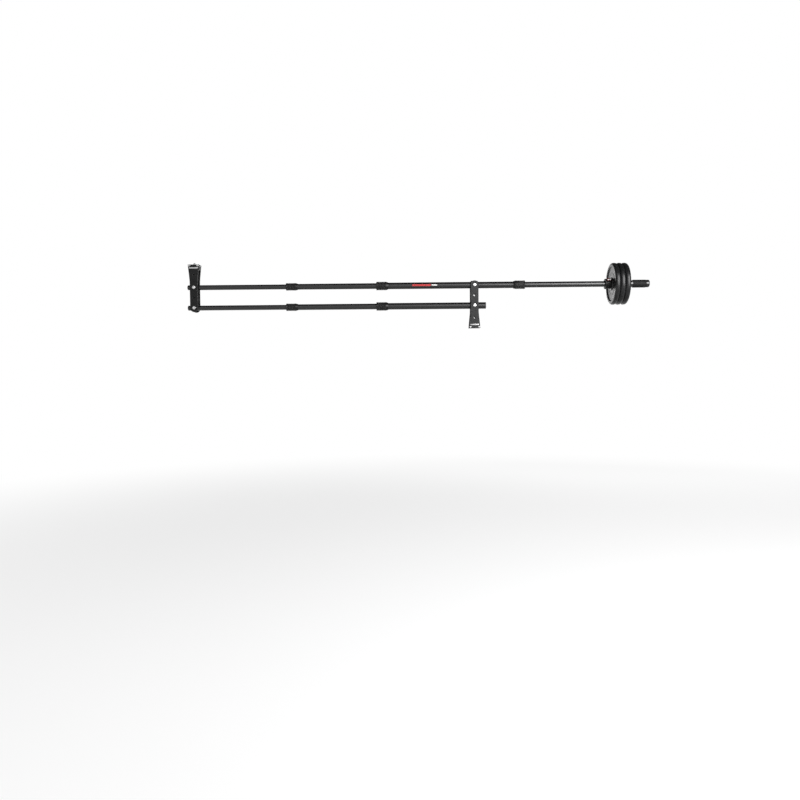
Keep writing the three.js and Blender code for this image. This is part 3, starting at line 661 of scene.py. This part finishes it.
def bracket_plate(node, body, look, up):
    """One side plate: five cells, each a band of rings round its hole, and a chamfered rim.

    In a cell the surface runs from the cell's border on the inner face to the hole, through it,
    and out to the border on the outer face. The rim carries a chamfer profile round the outline.
    """
    low, high, centre = extent(node)
    side = 1 if node.endswith("far") else -1
    bands = []
    for cell, hole in enumerate(CELLS):
        inner, outer = cell_ring(cell, BACK_INSET), cell_ring(cell, FACE_INSET)
        rims = (np.concatenate(inner), 0.0), (np.concatenate(outer), PLATE_THICKNESS)
        bands.append([rims[0], *hole_rings(*hole), rims[1]])
    edge = [[FACE_INSET, PLATE_THICKNESS], [CHAMFER, PLATE_THICKNESS]]
    edge += [[0, PLATE_THICKNESS - CHAMFER], [0, BACK_INSET], [BACK_INSET, 0]]
    edge = rounded(edge, [0, 0.5, 0.5, 0.2, 0])
    bands.append([(outline(inset), depth) for inset, depth in edge])
    grids = []
    for rows in bands:
        rows = [(flat, side * (PLATE_INNER + depth)) for flat, depth in rows]
        grid = upright(rows, centre[0], high[2] if up > 0 else low[2], up)
        grids.append((grid, False, True))
    piece(node, body, look, grids, node, sharp=28)


BLOCK_HALF, BLOCK_DEEP, BLOCK_TALL, BLOCK_CORNER = 26.0, 19.2, 26.0, 3.0
CLEAR = 0.3
BAR_HALF_TALL, BAR_CORNER, BAR_SOFT = 3.2, 1.7, 0.45
# From the seat's face down to the middle of the bar and to its nearer side
BAR_DEPTH = FOOT_REACH - SLOT_REACH
BAR_FACE = BAR_DEPTH - BAR_HALF_TALL
STUD_TALL = 9.0
THREAD_RADIUS, THREAD_PITCH, THREAD_DEPTH, THREAD_SIDES = 4.75, 25.4 / 16, 0.8, 64


def cut_away(thing, grid):
    """Cuts a closed shape, given as rings of points, out of a piece."""
    drill = new_object("cutter", mesh_from_grids("cutter", [(grid, False, True)]))
    cutter = thing.modifiers.new("cut", "BOOLEAN")
    cutter.operation, cutter.solver, cutter.object = "DIFFERENCE", "EXACT", drill
    bpy.context.view_layer.update()
    done = thing.evaluated_get(bpy.context.evaluated_depsgraph_get())
    fresh = bpy.data.meshes.new_from_object(done)
    thing.modifiers.remove(cutter)
    thing.data = fresh
    bpy.data.objects.remove(drill)
    shade(fresh, 35)


def foot_block(node, body, up):
    """The block between the feet: a frame round the tie bar's slot, carried along Y.

    It is drawn in at both ends only in its width, which rounds its four upright corners.
    """
    low, high, centre = extent(node)
    seat = high[2] if up > 0 else low[2]
    sizes, place = [BLOCK_HALF, BLOCK_TALL / 2, 0.7], [0, FOOT_REACH - BLOCK_TALL / 2]
    rows = eased(sizes, BLOCK_CORNER, BLOCK_DEEP, (40, 24), place, (1, 0, 0), 7)
    ring = rectangle_ring(SLOT_HALF_WIDTH, SLOT_HALF_HEIGHT, SLOT_CORNER, 40, 24) + [0, SLOT_REACH]
    rows += [(ring, BLOCK_DEEP), (ring, -BLOCK_DEEP)]
    grid = upright(rows, centre[0], seat, up)
    made = piece(node + "_body", body, BLOCK, [(grid, True, True)], node)
    hole = strip(0, THREAD_RADIUS + CLEAR, *sorted([seat + up, seat - up * BAR_DEPTH]))
    cut_away(made, turned(hole, ALONG_Z, centre * [1, 0, 0], THREAD_SIDES))


def threaded(places):
    """Radius of the thread at each place and angle.

    It is radius - depth * triangle(place / pitch - angle / turn), a triangle wave of 0 to 1.
    """
    angles = np.linspace(0, 1, THREAD_SIDES, endpoint=False)
    phase = (np.asarray(places)[:, None] / THREAD_PITCH - angles) % 1
    return THREAD_RADIUS - THREAD_DEPTH * np.abs(2 * phase - 1)


def tie_bar(node, body, look, up):
    """A flat bar through both plates and the block, with a threaded stud or a threaded hole."""
    low, high, centre = extent(node)
    seat = high[2] - STUD_TALL if up > 0 else low[2] - BAR_FACE
    half = (high - low) / 2
    sizes, place = [half[0], BAR_HALF_TALL, BAR_CORNER], [0, SLOT_REACH]
    rows = eased(sizes, BAR_SOFT, half[1], (40, 16), place)
    flat_end = np.repeat([[0.0, SLOT_REACH]], len(rows[0][0]), axis=0)
    rows = [(flat_end, -half[1]), *rows, (flat_end, half[1])]
    grids = [(upright(rows, centre[0], seat, up), False, True)]
    even = np.ones((1, THREAD_SIDES))
    if up > 0:
        bar_top, tip = seat - BAR_FACE, high[2]
        run = np.arange(bar_top + 0.2, tip - 1.0, THREAD_PITCH / 6)
        ends = [even * (THREAD_RADIUS - 0.9), even * (THREAD_RADIUS - 1.2), 0 * even]
        radii = np.concatenate([0 * even, even * THREAD_RADIUS, threaded(run), *ends])
        places = np.concatenate([[bar_top - 3, bar_top - 3], run, [tip - 0.5, tip, tip]])
        grids.append((waved(radii, places, ALONG_Z, centre * [1, 0, 0]), False, True))
    made = piece(node + "_bar", body, look, grids, node, sharp=30)
    if up < 0:
        run = np.arange(low[2] - 1, high[2] + 1, THREAD_PITCH / 6)
        radii = np.concatenate([0 * even, threaded(run), 0 * even])
        places = np.concatenate([run[:1], run, run[-1:]])
        cut_away(made, waved(radii, places, ALONG_Z, centre * [1, 0, 0]))


# Screws as (head's radius, head's height, key across its flats, key's depth, shank's radius)
BOLT = 4.5, 3.0, 4.0, 2.0, 2.5
SHOULDER_SCREW = 8.0, 4.0, 6.0, 3.0, 5.0
BUTTON = 4.4, 2.2, 2.6, 1.3, 1.9


def socket_screw(name, body, screw, length, axis, centre, replaced=None, look=STEEL):
    """A screw with a hexagon socket: rows of rings from the socket's floor out to the shank's end.

    Places run from 0 at the head's face to length at the shank's end, along the axis. The socket's
    radius at an angle is half its width across flats / cos(angle off a flat).
    """
    head, tall, key, deep, shank = screw
    angles = np.linspace(0, TURN, 96, endpoint=False)
    socket = key / 2 / np.cos((angles + TURN / 12) % (TURN / 6) - TURN / 12)
    dome = 0.12 * head
    rows = [(0 * socket, deep + 0.6), (socket * 0.5, deep + 0.2), (socket * 0.94, deep)]
    rows += [(socket, deep - 0.2), (socket, 0.35), (socket + 0.3, 0.05)]
    rows += [(head - dome - 0.3, 0.0), (head - dome * 0.45, 0.1 * tall)]
    rows += [(head - dome * 0.12, 0.2 * tall), (head, 0.34 * tall), (head, tall - 0.2)]
    rows += [(head - 0.2, tall), (shank, tall), (shank, length - 0.8)]
    rows += [(shank - 0.8, length), (0.0, length)]
    radii, places = zip(*rows)
    grid = waved(np.stack([0 * socket + radius for radius in radii]), places, axis, centre)
    piece(name, body, look, [(grid, False, True)], replaced, sharp=40)


def cross_screw(name, node, body, screw, look=STEEL):
    """A screw along Y as long as its node, its head on the far side where the name says far."""
    low, high, centre = extent(node)
    far = node.endswith("far")
    head = [centre[0], high[1] if far else low[1], centre[2]]
    axis = facing(ALONG_Y, -1 if far else 1)
    socket_screw(name, body, screw, high[1] - low[1], axis, head, node, look)


def bush(node, body):
    """A flanged bush: the flange is inside the plate, the barrel in it."""
    centre = extent(node)[2] * [1, 0, 1]
    bore, barrel, flange = 5.3, 6.9, 9.5
    start, seat, end = 18.2, 19.2, 22.7
    profile = strip(bore, flange, start, seat)[:3] + strip(bore, barrel, seat, end)[1:]
    axis = facing(ALONG_Y, 1 if node.endswith("far") else -1)
    lathe(node + "_ring", body, BRONZE, profile, centre, node, axis, 64, radius=0.2)


def end_screws(node, body, up):
    """Two low button-head screws in the block's front and rear ends, level with the bolts."""
    low, high, _ = extent(node)
    level = high[2] - 5.5 if up > 0 else low[2] + 5.5
    for end, face, side in (("front", low[0], 1), ("rear", high[0], -1)):
        centre = [face - side * BUTTON[1], 0, level]
        socket_screw(f"{node}_{end}_screw", body, BUTTON, 9, facing(ALONG_X, side), centre)


def bracket(prefix, up, paint, bar_look, bolt_look, block, bar):
    """One bracket: plates, block, tie bar, through-bolts, end screws and bushes."""
    body = f"{prefix}_bracket"
    for place in ("near", "far"):
        bracket_plate(f"{prefix}_plate_{place}", body, paint, up)
    foot_block(block, body, up)
    tie_bar(bar, body, bar_look, up)
    end_screws(block, body, up)
    for end in ("front", "rear"):
        node = f"{prefix}_bolt_{end}"
        cross_screw(node + "_screw", node, body, BOLT, bolt_look)
    for level in ("upper", "lower"):
        for place in ("near", "far"):
            bush(f"{prefix}_bush_{level}_{place}", body)


bracket("fulcrum", -1, PAINT, SHADED_FOOT_TIE_STEEL, SHADED_FOOT_BOLT_STEEL, "fulcrum_base_block", "tripod_nut")
bracket("head", 1, SHADED_HEAD_PAINT, TIE_STEEL, STEEL, "head_top_block", "camera_screw")

# Pivots and tubes

SLEEVE_BORE, SLEEVE_CORNER, SLEEVE_SOFT = 16.3, 8.0, 1.2
CLIP_OPENING = math.radians(28)
TUBE_WALL = 1.6


def head_axle(node, body):
    """An axle with a socket head on the near side and a retaining ring on the far one."""
    _, high, centre = extent(node)
    cross_screw(node + "_pin", node, body, SHOULDER_SCREW)
    clip = rounded_loop(strip(4.6, 7.6, high[1] - 1.9, high[1] - 0.9), 0.25)
    grid = turned(clip, ALONG_Y, centre * [1, 0, 1], 64, CLIP_OPENING, TURN - CLIP_OPENING)
    piece(node + "_clip", body, STEEL, [(grid, True, False)])


def pivot_sleeve(node, body):
    """The trunnion sleeve: a rounded block bored for the tube, its rings carried along X."""
    low, high, centre = extent(node)
    half, at, counts = (high - low) / 2, [0, centre[2]], (30, 34)
    rows = eased([half[1], half[2], SLEEVE_CORNER], SLEEVE_SOFT, half[0], counts, at, steps=6)
    bore, rim = (rectangle_ring(*[SLEEVE_BORE + more] * 3, *counts) + at for more in (0, 0.4))
    end = half[0]
    rows = [(bore, 0.4 - end), (rim, -end), *rows, (rim, end), (bore, end - 0.4)]
    rings = [np.insert(ring, 0, centre[0] + place, axis=1) for ring, place in rows]
    piece(node + "_body", body, BLOCK, [(np.stack(rings), True, True)], node)


def tube(node, body, diameter):
    """A drawn tube with its rims eased."""
    low, high, centre = extent(node)
    profile = strip(diameter / 2 - TUBE_WALL, diameter / 2, low[0], high[0])
    lathe(node + "_body", body, TUBE, profile, centre * [0, 0, 1], node, radius=0.35)


for level in ("upper", "lower"):
    for place in ("near", "far"):
        node = f"{level}_pivot_screw_{place}"
        cross_screw(node + "_head", node, f"{level}_arm", SHOULDER_SCREW)
    head_axle(f"{level}_head_axle", f"{level}_inner")
    pivot_sleeve(f"{level}_pivot_sleeve", f"{level}_arm")
    tube(f"{level}_main_tube", f"{level}_arm", 32)
    tube(f"{level}_mid_tube", f"{level}_mid", 28)
    tube(f"{level}_inner_tube", f"{level}_inner", 24)
tube("rear_tube", "rear_arm", 28)

# Twist locks

FERRULE_LONG, LIP_LONG, TAPER_LONG = 34.3, 2.0, 9.4
RIBS, BLOCKS = 26, 7
NUT_SIDES, NUT_ROWS = RIBS * 10, 92
NUT_RIM, NUT_GROOVE, NUT_EASE, NUT_CUT = 4.6, 3.4, 1.6, 1.5


def lock_frame(node, forward):
    """Radius, length, tail point and axis of a lock's piece; the axis points to its mouth."""
    low, high, centre = extent(node)
    tail = [high[0] if forward < 0 else low[0], 0, centre[2]]
    return (high[2] - low[2]) / 2, high[0] - low[0], tail, facing(ALONG_X, forward)


def ferrule(node, body, forward):
    """A ferrule: a taper up to a shoulder, then the neck inside the nut, with a lip at its end.

    Places run towards the mouth of the lock; forward is -1 where that is -X.
    """
    shoulder, _, tail, axis = lock_frame(node, forward)
    bore = 16.3 if shoulder > 19 else 14.3
    share = np.linspace(0, 1, 12)
    swell = 0.85 * share + 0.15 * np.sin(share * math.pi / 2)
    taper = np.stack([bore + 0.9 + (shoulder - bore - 0.9) * swell, 0.3 + TAPER_LONG * share], -1)
    end, neck, lip = FERRULE_LONG, bore + 1.5, bore - 1.9
    rest = [[shoulder - 0.6, 10.2], [neck, 10.2], [neck, end], [lip, end]]
    rest += [[lip, end - LIP_LONG], [bore, end - LIP_LONG]]
    profile = np.concatenate([[[bore, 0.0], [bore + 0.6, 0.0]], taper, rest])
    lathe(node + "_sleeve", body, SATIN, profile, tail, node, axis, sharp=30)


def lock_nut(node, body, forward):
    """A twist-lock grip: ribs along it, cut across into blocks, between two smooth rims.

    The radius is R - depth * window(place) * (1 - rib(angle) * block(place)), where rib and block
    are flat-topped waves of 0 to 1, window is 1 over the ribbed length and 0 on the rims.
    """
    radius, length, tail, axis = lock_frame(node, forward)
    mouth, neck = (14.4, 18.4) if radius > 19 else (12.4, 16.2)
    angles = np.linspace(0, TURN, NUT_SIDES, endpoint=False)
    places = np.linspace(0, length, NUT_ROWS)
    inward = np.minimum(places, length - places)
    rib = np.clip(0.5 + 1.1 * np.cos(RIBS * angles), 0, 1)
    window = np.clip((inward - NUT_RIM) / 0.9, 0, 1)
    beat = (places - NUT_RIM) / (length - 2 * NUT_RIM) * BLOCKS
    block = np.clip(0.62 + 1.3 * np.cos(TURN * (beat - 0.5)), 0, 1)
    groove = np.where(np.abs(inward - NUT_GROOVE) < 0.7, 0.5, 0.0)
    left = np.maximum(NUT_EASE - inward, 0)
    ease = NUT_EASE - np.sqrt(NUT_EASE**2 - left**2)
    cut = NUT_CUT * window[:, None] * (1 - rib * block[:, None])
    outside = radius - cut - (groove + ease)[:, None]
    inside = np.array([mouth + 0.8, mouth, mouth, mouth + 1.5, neck, neck])[:, None]
    back = [length, length - 0.6, length - 5.2, length - 5.4, length - 23, 0.4]
    even = np.ones((1, NUT_SIDES))
    radii = np.concatenate([even * (neck + 0.4), outside, even * inside])
    grid = waved(radii, [0.0, *places, *back], axis, tail)
    piece(node + "_grip", body, NUT, [(grid, True, True)], node, sharp=50)


for level in ("upper", "lower"):
    for place, body in (("front", "arm"), ("tip", "mid")):
        ferrule(f"{level}_{place}_ferrule", f"{level}_{body}", -1)
        lock_nut(f"{level}_{place}_nut", f"{level}_{place}_lock", -1)
ferrule("rear_ferrule", "upper_arm", 1)
lock_nut("rear_nut", "rear_lock", 1)

for lock in ("upper_front", "upper_tip", "lower_front", "lower_tip", "rear"):
    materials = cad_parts[f"{lock}_collet"].data.materials
    materials.clear()
    materials.append(NYLON)

# Tube ends and handle

LUG_REACH, LUG_RADIUS, BARREL_RADIUS, BARREL_HALF = 35.5, 12.0, 11.0, 17.9
ON_BAR = [0, 0, ARM_HEIGHT]


def end_lug(node, body):
    """A lug: a round-nosed plug in the tube's end, crossed by a barrel for the axle."""
    low, _, centre = extent(node)
    nose, pivot = low[0], low[0] + LUG_REACH
    centre = centre * [0, 0, 1]
    bend = quarter(10)
    profile = np.concatenate(
        [
            [[0, nose], [4.2, nose], [4.5, nose]],
            np.stack([7 + 5 * np.sin(bend), nose + 5 - 5 * np.cos(bend)], -1),
            [[LUG_RADIUS, pivot + 15.2], [LUG_RADIUS - 0.4, pivot + 15.8]],
            [[LUG_RADIUS - 0.4, pivot + 16.6], [LUG_RADIUS, pivot + 17.2]],
            [[LUG_RADIUS, pivot + 18], [10.1, pivot + 18], [10.1, pivot + 40], [0, pivot + 40]],
        ]
    )
    barrel = rounded(strip(0, BARREL_RADIUS, -BARREL_HALF, BARREL_HALF), 0.8)
    crossing = turned(barrel, ALONG_Y, centre + [pivot, 0, 0], 96)
    grids = [(turned(profile, ALONG_X, centre, 96), False, True), (crossing, False, True)]
    piece(node + "_body", body, GLOSS, grids, node)


def tube_plug(node, body):
    """The cap in a tube's open end, with a shallow dish in its face."""
    low, high, centre = extent(node)
    start, end = low[0], high[0]
    profile = [[0, start], [14.1, start], [14.1, end - 2.2], [16, end - 2.2], [16, end]]
    profile += [[11, end], [10.4, end - 0.6], [0, end - 0.6]]
    lathe(node + "_cap", body, GLOSS, profile, centre * [0, 0, 1], node, radius=0.3, solid=True)


def handle():
    """The handle at the bar's end: a polished shoulder, a ribbed rubber grip and a moulded cap."""
    low, high, _ = extent("handle_grip")
    end = low[0] - CLEAR
    start = end - 31
    shoulder = [[13.9, start], [14.6, start], [16.5, start + 2], [16.5, end], [13.9, end]]
    lathe("bar_shoulder", "rear_arm", POLISHED, shoulder, ON_BAR, radius=0.6)

    places = np.linspace(low[0], high[0], 181)
    share = (places - low[0]) / (high[0] - low[0])
    ribs = 0.35 * (1 - np.abs(np.sin(math.pi * 13 * share)) ** 0.6)
    ends = 1.3 * np.exp(-(np.minimum(share, 1 - share) / 0.022) ** 2)
    outside = np.stack([(high[2] - low[2]) / 2 - ribs - ends, places], -1)
    grip = np.concatenate([[[14.2, low[0]]], outside, [[14.2, high[0]]]])
    lathe("handle_grip_rubber", "rear_arm", RUBBER, grip, ON_BAR, "handle_grip", sides=128)

    low, high, _ = extent("handle_cap")
    start, seat, end, bend = low[0], low[0] + 14, high[0], quarter(12)
    cap = np.concatenate(
        [
            [[0, start], [12.1, start], [12.1, seat], [17.9, seat], [18.5, seat + 0.6]],
            np.stack([14 + 4.5 * np.cos(bend), end - 4.5 + 4.5 * np.sin(bend)], -1),
            [[9.0, end], [8.4, end - 0.7], [0, end - 0.9]],
        ]
    )
    lathe("handle_cap_moulding", "rear_arm", GLOSS, cap, ON_BAR, "handle_cap", solid=True)


end_lug("upper_end_lug", "upper_inner")
end_lug("lower_end_lug", "lower_inner")
tube_plug("lower_tube_plug", "lower_arm")
handle()

# Counterweights

WEB_SUNK, RIM_ROUND = 5.0, 8.5


def weight(node):
    """A cast plate: hub, dished web with a raised ring, and a rounded rim, alike on both faces.

    Half the profile is drawn outwards from the bore, then mirrored in the plate's middle.
    """
    low, high, centre = extent(node)
    half, outer = (high[0] - low[0]) / 2, (high[2] - low[2]) / 2
    web = half - WEB_SUNK
    face = [[14.3, 0], [14.3, half], [29, half], [32, web + 0.2], [50, web], [51, web + 0.9]]
    face += [[54, web + 0.9], [55, web], [81.5, web], [85, half], [outer - RIM_ROUND, half]]
    face = rounded(face, [0, 1.0, 1.4, 2.2, 0.5, 0.4, 0.4, 0.5, 2.2, 1.4, 0], 5)
    bend = quarter(16)
    crest = np.stack([outer - RIM_ROUND * (1 - np.sin(bend)), half * np.cos(bend) ** 0.9], -1)
    face = np.concatenate([face, crest])
    whole = np.concatenate([face, face[-2:0:-1] * [1, -1]])
    centre = [centre[0], 0, ARM_HEIGHT]
    lathe(node + "_casting", "weight_stack", ENAMEL, whole, centre, node, sides=160)


for number in (1, 2, 3):
    weight(f"weight_plate_{number}")

# Lock collar: the lever's angle is 0 towards the far side and grows upwards

COLLAR_START, COLLAR_END = (corner[0] for corner in extent("collar_ring")[:2])
SLIT_HALF = math.asin(1.5 / 20)
LEVER_ANGLE, LEVER_END = math.radians(15), math.radians(143)
LEVER_MIDDLE, LEVER_REACH, LEVER_HALF_WIDTH = COLLAR_START + 17, 25.6, 8.7
PIN_REACH, EAR_RADIUS, EAR_LENGTH = 28.5, 4.0, 9.0


def directions(angles):
    """Unit vectors in the YZ plane at angles from Y."""
    return np.stack([np.cos(angles), np.sin(angles)], -1)


def on_collar(x, flat):
    """Points at x, or at each x, whose Y and Z from the bar's axis are given."""
    return np.stack([np.broadcast_to(x, len(flat)), flat[:, 0], ARM_HEIGHT + flat[:, 1]], -1)


def collar_ring():
    """The split ring with its flange, closed at the slit, and the two ears of the lever's pin."""
    profile = strip(14.3, 25, COLLAR_START, COLLAR_START + 5)[:3] + [[23, COLLAR_START + 6]]
    profile += [[23, COLLAR_END], [14.3, COLLAR_END]]
    profile = rounded_loop(profile, [0.5, 1.0, 0.9, 1.0, 1.4, 0.5])
    up_first = np.array([[1, 0, 0], [0, 0, 1], [0, -1, 0]], float)
    ring = turned(profile, up_first, ON_BAR, 120, SLIT_HALF, TURN - SLIT_HALF)
    ends = [
        column.mean(axis=0, keepdims=True).repeat(len(ring), axis=0)
        for column in (ring[:, :1], ring[:, -1:])
    ]
    grids = [(np.concatenate([ends[0], ring, ends[1]], axis=1), True, False)]
    round_end = EAR_RADIUS * directions(np.linspace(-math.pi / 2, math.pi / 2, 17))
    ear = np.concatenate([round_end, [[-EAR_LENGTH, EAR_RADIUS], [-EAR_LENGTH, -EAR_RADIUS]]])
    outward, sideways = directions(np.array([LEVER_ANGLE, LEVER_ANGLE + math.pi / 2]))
    levels = [(0.0, 0.4), (0.15, 0.12), (0.4, 0.0), (2.6, 0.0), (2.85, 0.12), (3.0, 0.4)]
    for start in (LEVER_MIDDLE - 12, LEVER_MIDDLE + 9):
        rows = []
        for at, pull in levels:
            radial, tangent = (ear * (EAR_RADIUS - pull) / EAR_RADIUS).T[..., None]
            flat = (PIN_REACH + radial) * outward + tangent * sideways
            rows.append(on_collar(start + at, flat))
        grids.append((np.stack(rows), False, True))
    piece("collar_ring_body", "weight_stack", COLLAR, grids, "collar_ring")


def swept(path, normals, half_widths, thickness, soft=1.2):
    """A strap carried along a path in the YZ plane: a rounded rectangle, wide along X.

    At each path point the section stands on the path's outward normal and on X.
    """
    sections = []
    for point, normal, half, thick in zip(path, normals, half_widths, thickness):
        section = rectangle_ring(half, thick / 2, min(soft, thick / 2.05), 14, 8)
        sections.append(on_collar(LEVER_MIDDLE + section[:, 0], point + section[:, 1:] * normal))
    first, last = (
        np.repeat(end.mean(axis=0, keepdims=True), len(end), axis=0)
        for end in (sections[0], sections[-1])
    )
    return np.stack([first, *sections, last])


def collar_lever():
    """The cam lever: a strap round the collar from its boss to a lifted tab, a pin, and a pale
    strip on the tab that is a painted highlight.
    """
    arc = np.linspace(LEVER_ANGLE, LEVER_END, 60)
    tab = np.linspace(0, 1, 12)[1:]
    around = LEVER_REACH * directions(arc)
    lifted = around[-1] + (7.2 * tab)[:, None] * directions(LEVER_END - 0.35)
    path = np.concatenate([around, lifted])
    normals = directions(np.concatenate([arc, LEVER_END + 0.9 * tab]))
    width = LEVER_HALF_WIDTH - 0.8 * np.concatenate([0 * arc, tab])
    thick = np.concatenate([np.linspace(4.0, 3.4, len(arc)), 3.4 - 1.0 * tab])
    centre = on_collar(0, PIN_REACH * directions(np.array([LEVER_ANGLE])))[0]
    low, high = LEVER_MIDDLE - LEVER_HALF_WIDTH, LEVER_MIDDLE + LEVER_HALF_WIDTH
    boss = turned(rounded(strip(0, 4, low, high), 0.5), ALONG_X, centre, 48)
    grids = [(swept(path, normals, width, thick), False, True), (boss, False, True)]
    piece("collar_lever_strap", "collar_latch", LEVER_RED, grids, "collar_lever")
    pin = strip(0, 2, LEVER_MIDDLE - 12, LEVER_MIDDLE + 12)
    lathe("collar_lever_pin", "collar_latch", STEEL, pin, centre, radius=0.4, sides=32, solid=True)
    # Painted highlight: a near-white strip over the strap's end and tab, where the lever's
    # highlight falls.
    rows = slice(50, len(arc) + 10)
    on_strap = path[rows] + normals[rows] * (thick[rows, None] / 2 - 0.3)
    even = np.ones(len(on_strap))
    painted_highlight = swept(on_strap, normals[rows], 7.7 * even, 0.9 * even, 0.4)
    piece("collar_lever_painted_highlight", "collar_latch", PAINTED_HIGHLIGHT_INLAY, [(painted_highlight, False, True)])


collar_ring()
collar_lever()

# Coloured bands on the upper tube

BAND_RADII, BAND_CORNER, BAND_MIDDLE = (16.06, 15.9), 2.2, math.radians(4)


def band(name, look, start, end, half_angle):
    """A thin patch on the tube over a stretch and an arc, its corners rounded.

    Past the start of a corner of radius c by p, each side is drawn in by c - sqrt(c**2 - p**2).
    """
    bend = BAND_CORNER * (1 - np.cos(quarter(9)))
    straight = np.linspace(start + BAND_CORNER, end - BAND_CORNER, 14)[1:-1]
    along = np.concatenate([start + bend, straight, end - bend[::-1]])
    past = np.maximum(BAND_CORNER - np.minimum(along - start, end - along), 0)
    drop = BAND_CORNER * (1 - np.sqrt(np.maximum(1 - (past / BAND_CORNER) ** 2, 0)))
    half = math.radians(half_angle) - drop / 16
    angle = BAND_MIDDLE + half[:, None] * np.linspace(-1, 1, 25)
    along = np.broadcast_to(along[:, None], angle.shape)
    outer, inner = (
        np.stack([along, -radius * np.cos(angle), ARM_HEIGHT + radius * np.sin(angle)], -1)
        for radius in BAND_RADII
    )
    shell = np.concatenate([outer, inner[:, ::-1]], axis=1)
    piece(name, "upper_arm", look, [(shell, False, True)], sharp=50)


band("upper_tube_red_band", STRIPE_RED, -304, -213, 17)
band("upper_tube_white_band", STRIPE_WHITE, -210, -182, 9)

# Studio: floor, world, lamps and camera

FLOOR_HEIGHT, FLOOR_HALF = -1.108, 40.0
WALL_LIGHT, BACKDROP_LIGHT, SIDE_LIGHT, CEILING_LIGHT = 0.95, 1.75, 0.12, 0.02
EVEN_LIGHT = 0.38
WHITE = (1, 1, 1, 1)


def studio_floor():
    """A wide white floor: lit white near the object, the plain background white further out.

    Reflections see it as a glow with painted shade under the object: 0.3 below it and 1 from 2.4 m
    on.
    """
    steps = np.linspace(-FLOOR_HALF, FLOOR_HALF, 21)
    x, y = np.meshgrid(steps, steps)
    points = np.stack([x, y, np.full_like(x, FLOOR_HEIGHT)], -1).reshape(-1, 3)
    mesh = bpy.data.meshes.new("studio_floor")
    mesh.from_pydata(points.tolist(), [], grid_faces(21, 21, wrap_columns=False).tolist())
    material = bpy.data.materials.new("studio_floor_white")
    mesh.materials.append(material)
    made = Wiring(material)
    rays = made.node("ShaderNodeLightPath", {}).outputs
    place = made.node("ShaderNodeTexCoord", {}).outputs["Object"]
    away = made.distance(place, (0, 0, 0))
    far_off = made.ranged(away, 1.2, 5.0, 0.55, 1.0, interpolation_type="SMOOTHSTEP")
    diffuse = made.node("ShaderNodeBsdfDiffuse", {"Color": (0.8, 0.8, 0.8, 1)}).outputs[0]
    glow = made.node("ShaderNodeEmission", {"Color": WHITE}).outputs[0]
    seen = made.mix(made.calc("MULTIPLY", rays["Is Camera Ray"], far_off), diffuse, glow)
    # Painted shade: in reflections the floor glows at 0.3 under the object and at 1 from 2.4 m on.
    painted_shade = made.ranged(made.distance(place, (0.5, 0.1, 0)), 0.3, 2.4, 0.3, 1.0)
    glow_with_painted_shade = made.node("ShaderNodeEmission", {"Strength": painted_shade}).outputs[0]
    surface = made.mix(rays["Is Glossy Ray"], seen, glow_with_painted_shade)
    made.node("ShaderNodeOutputMaterial", {"Surface": surface})
    new_object("studio_floor", mesh)


def studio_world():
    """White walls for the camera and for reflections, a dim ceiling, and even soft light.

    A reflection sees the ceiling where z is above 0.42 - 0.35 * y of its direction, so that it
    starts lower behind the object than over the camera. The backdrop, at y above 0.6, is brighter
    than the walls, at y below -0.2, and the far left and right, at abs(x) from 0.45 to 0.75, fade.
    """
    world = bpy.data.worlds.new("studio_world")
    bpy.context.scene.world = world
    made = Wiring(world)

    def background(strength):
        inputs = {"Color": WHITE, "Strength": strength}
        return made.node("ShaderNodeBackground", inputs).outputs[0]

    rays = made.node("ShaderNodeLightPath", {}).outputs
    place = made.node("ShaderNodeTexCoord", {}).outputs["Generated"]
    x, y, z = made.node("ShaderNodeSeparateXYZ", {0: place}).outputs
    leaned = made.calc("MULTIPLY_ADD", y, 0.35, z)
    ceiling = made.ranged(
        leaned, 0.42, 0.66, WALL_LIGHT, CEILING_LIGHT, interpolation_type="SMOOTHSTEP"
    )
    behind = made.ranged(y, -0.2, 0.6, 1.0, BACKDROP_LIGHT)
    sides = made.ranged(made.calc("ABSOLUTE", x), 0.45, 0.75, 1.0, SIDE_LIGHT)
    lit = made.calc("MULTIPLY", ceiling, made.calc("MULTIPLY", behind, sides))
    reflected = made.calc("MAXIMUM", rays["Is Glossy Ray"], rays["Is Transmission Ray"])
    indirect = made.mix(reflected, background(EVEN_LIGHT), background(lit))
    surface = made.mix(rays["Is Camera Ray"], indirect, background(1.0))
    made.node("ShaderNodeOutputWorld", {"Surface": surface})


def softbox(name, place, target, width, tall, power):
    """A rectangular lamp at a place, turned towards a target, all in metres and watts."""
    lamp = bpy.data.lights.new(name, "AREA")
    lamp.shape = "RECTANGLE"
    lamp.size, lamp.size_y, lamp.energy = width, tall, power
    thing = new_object(name, lamp)
    thing.location = place
    thing.rotation_euler = (Vector(target) - Vector(place)).to_track_quat("-Z", "Y").to_euler()


studio_floor()
studio_world()
softbox("key_softbox", (1.7, -3.3, 1.45), (0.4, 0, 0.2), 3.9, 2.3, 70)
softbox("rear_softbox", (2.1, -3.2, 1.0), (0.6, 0, 0.2), 2.3, 3.0, 215)
softbox("fill_softbox", (-1.6, -2.6, 2.6), (-0.6, 0, 0.15), 2.2, 1.0, 5)
softbox("back_softbox", (1.5, 3.4, 0.25), (0.1, 0, 0.2), 2.6, 0.8, 26)

camera = bpy.data.cameras.new("photo_camera")
camera.sensor_width = 36
camera.lens = 36
camera.clip_end = 200
viewer = new_object("photo_camera", camera)
viewer.location = (-0.3685, -3.956, -0.2027)
viewer.rotation_euler = Euler((math.radians(90 - 2.15), math.radians(0.53), 0), "XYZ")
bpy.context.scene.camera = viewer
bpy.context.scene.view_settings.view_transform = "Standard"
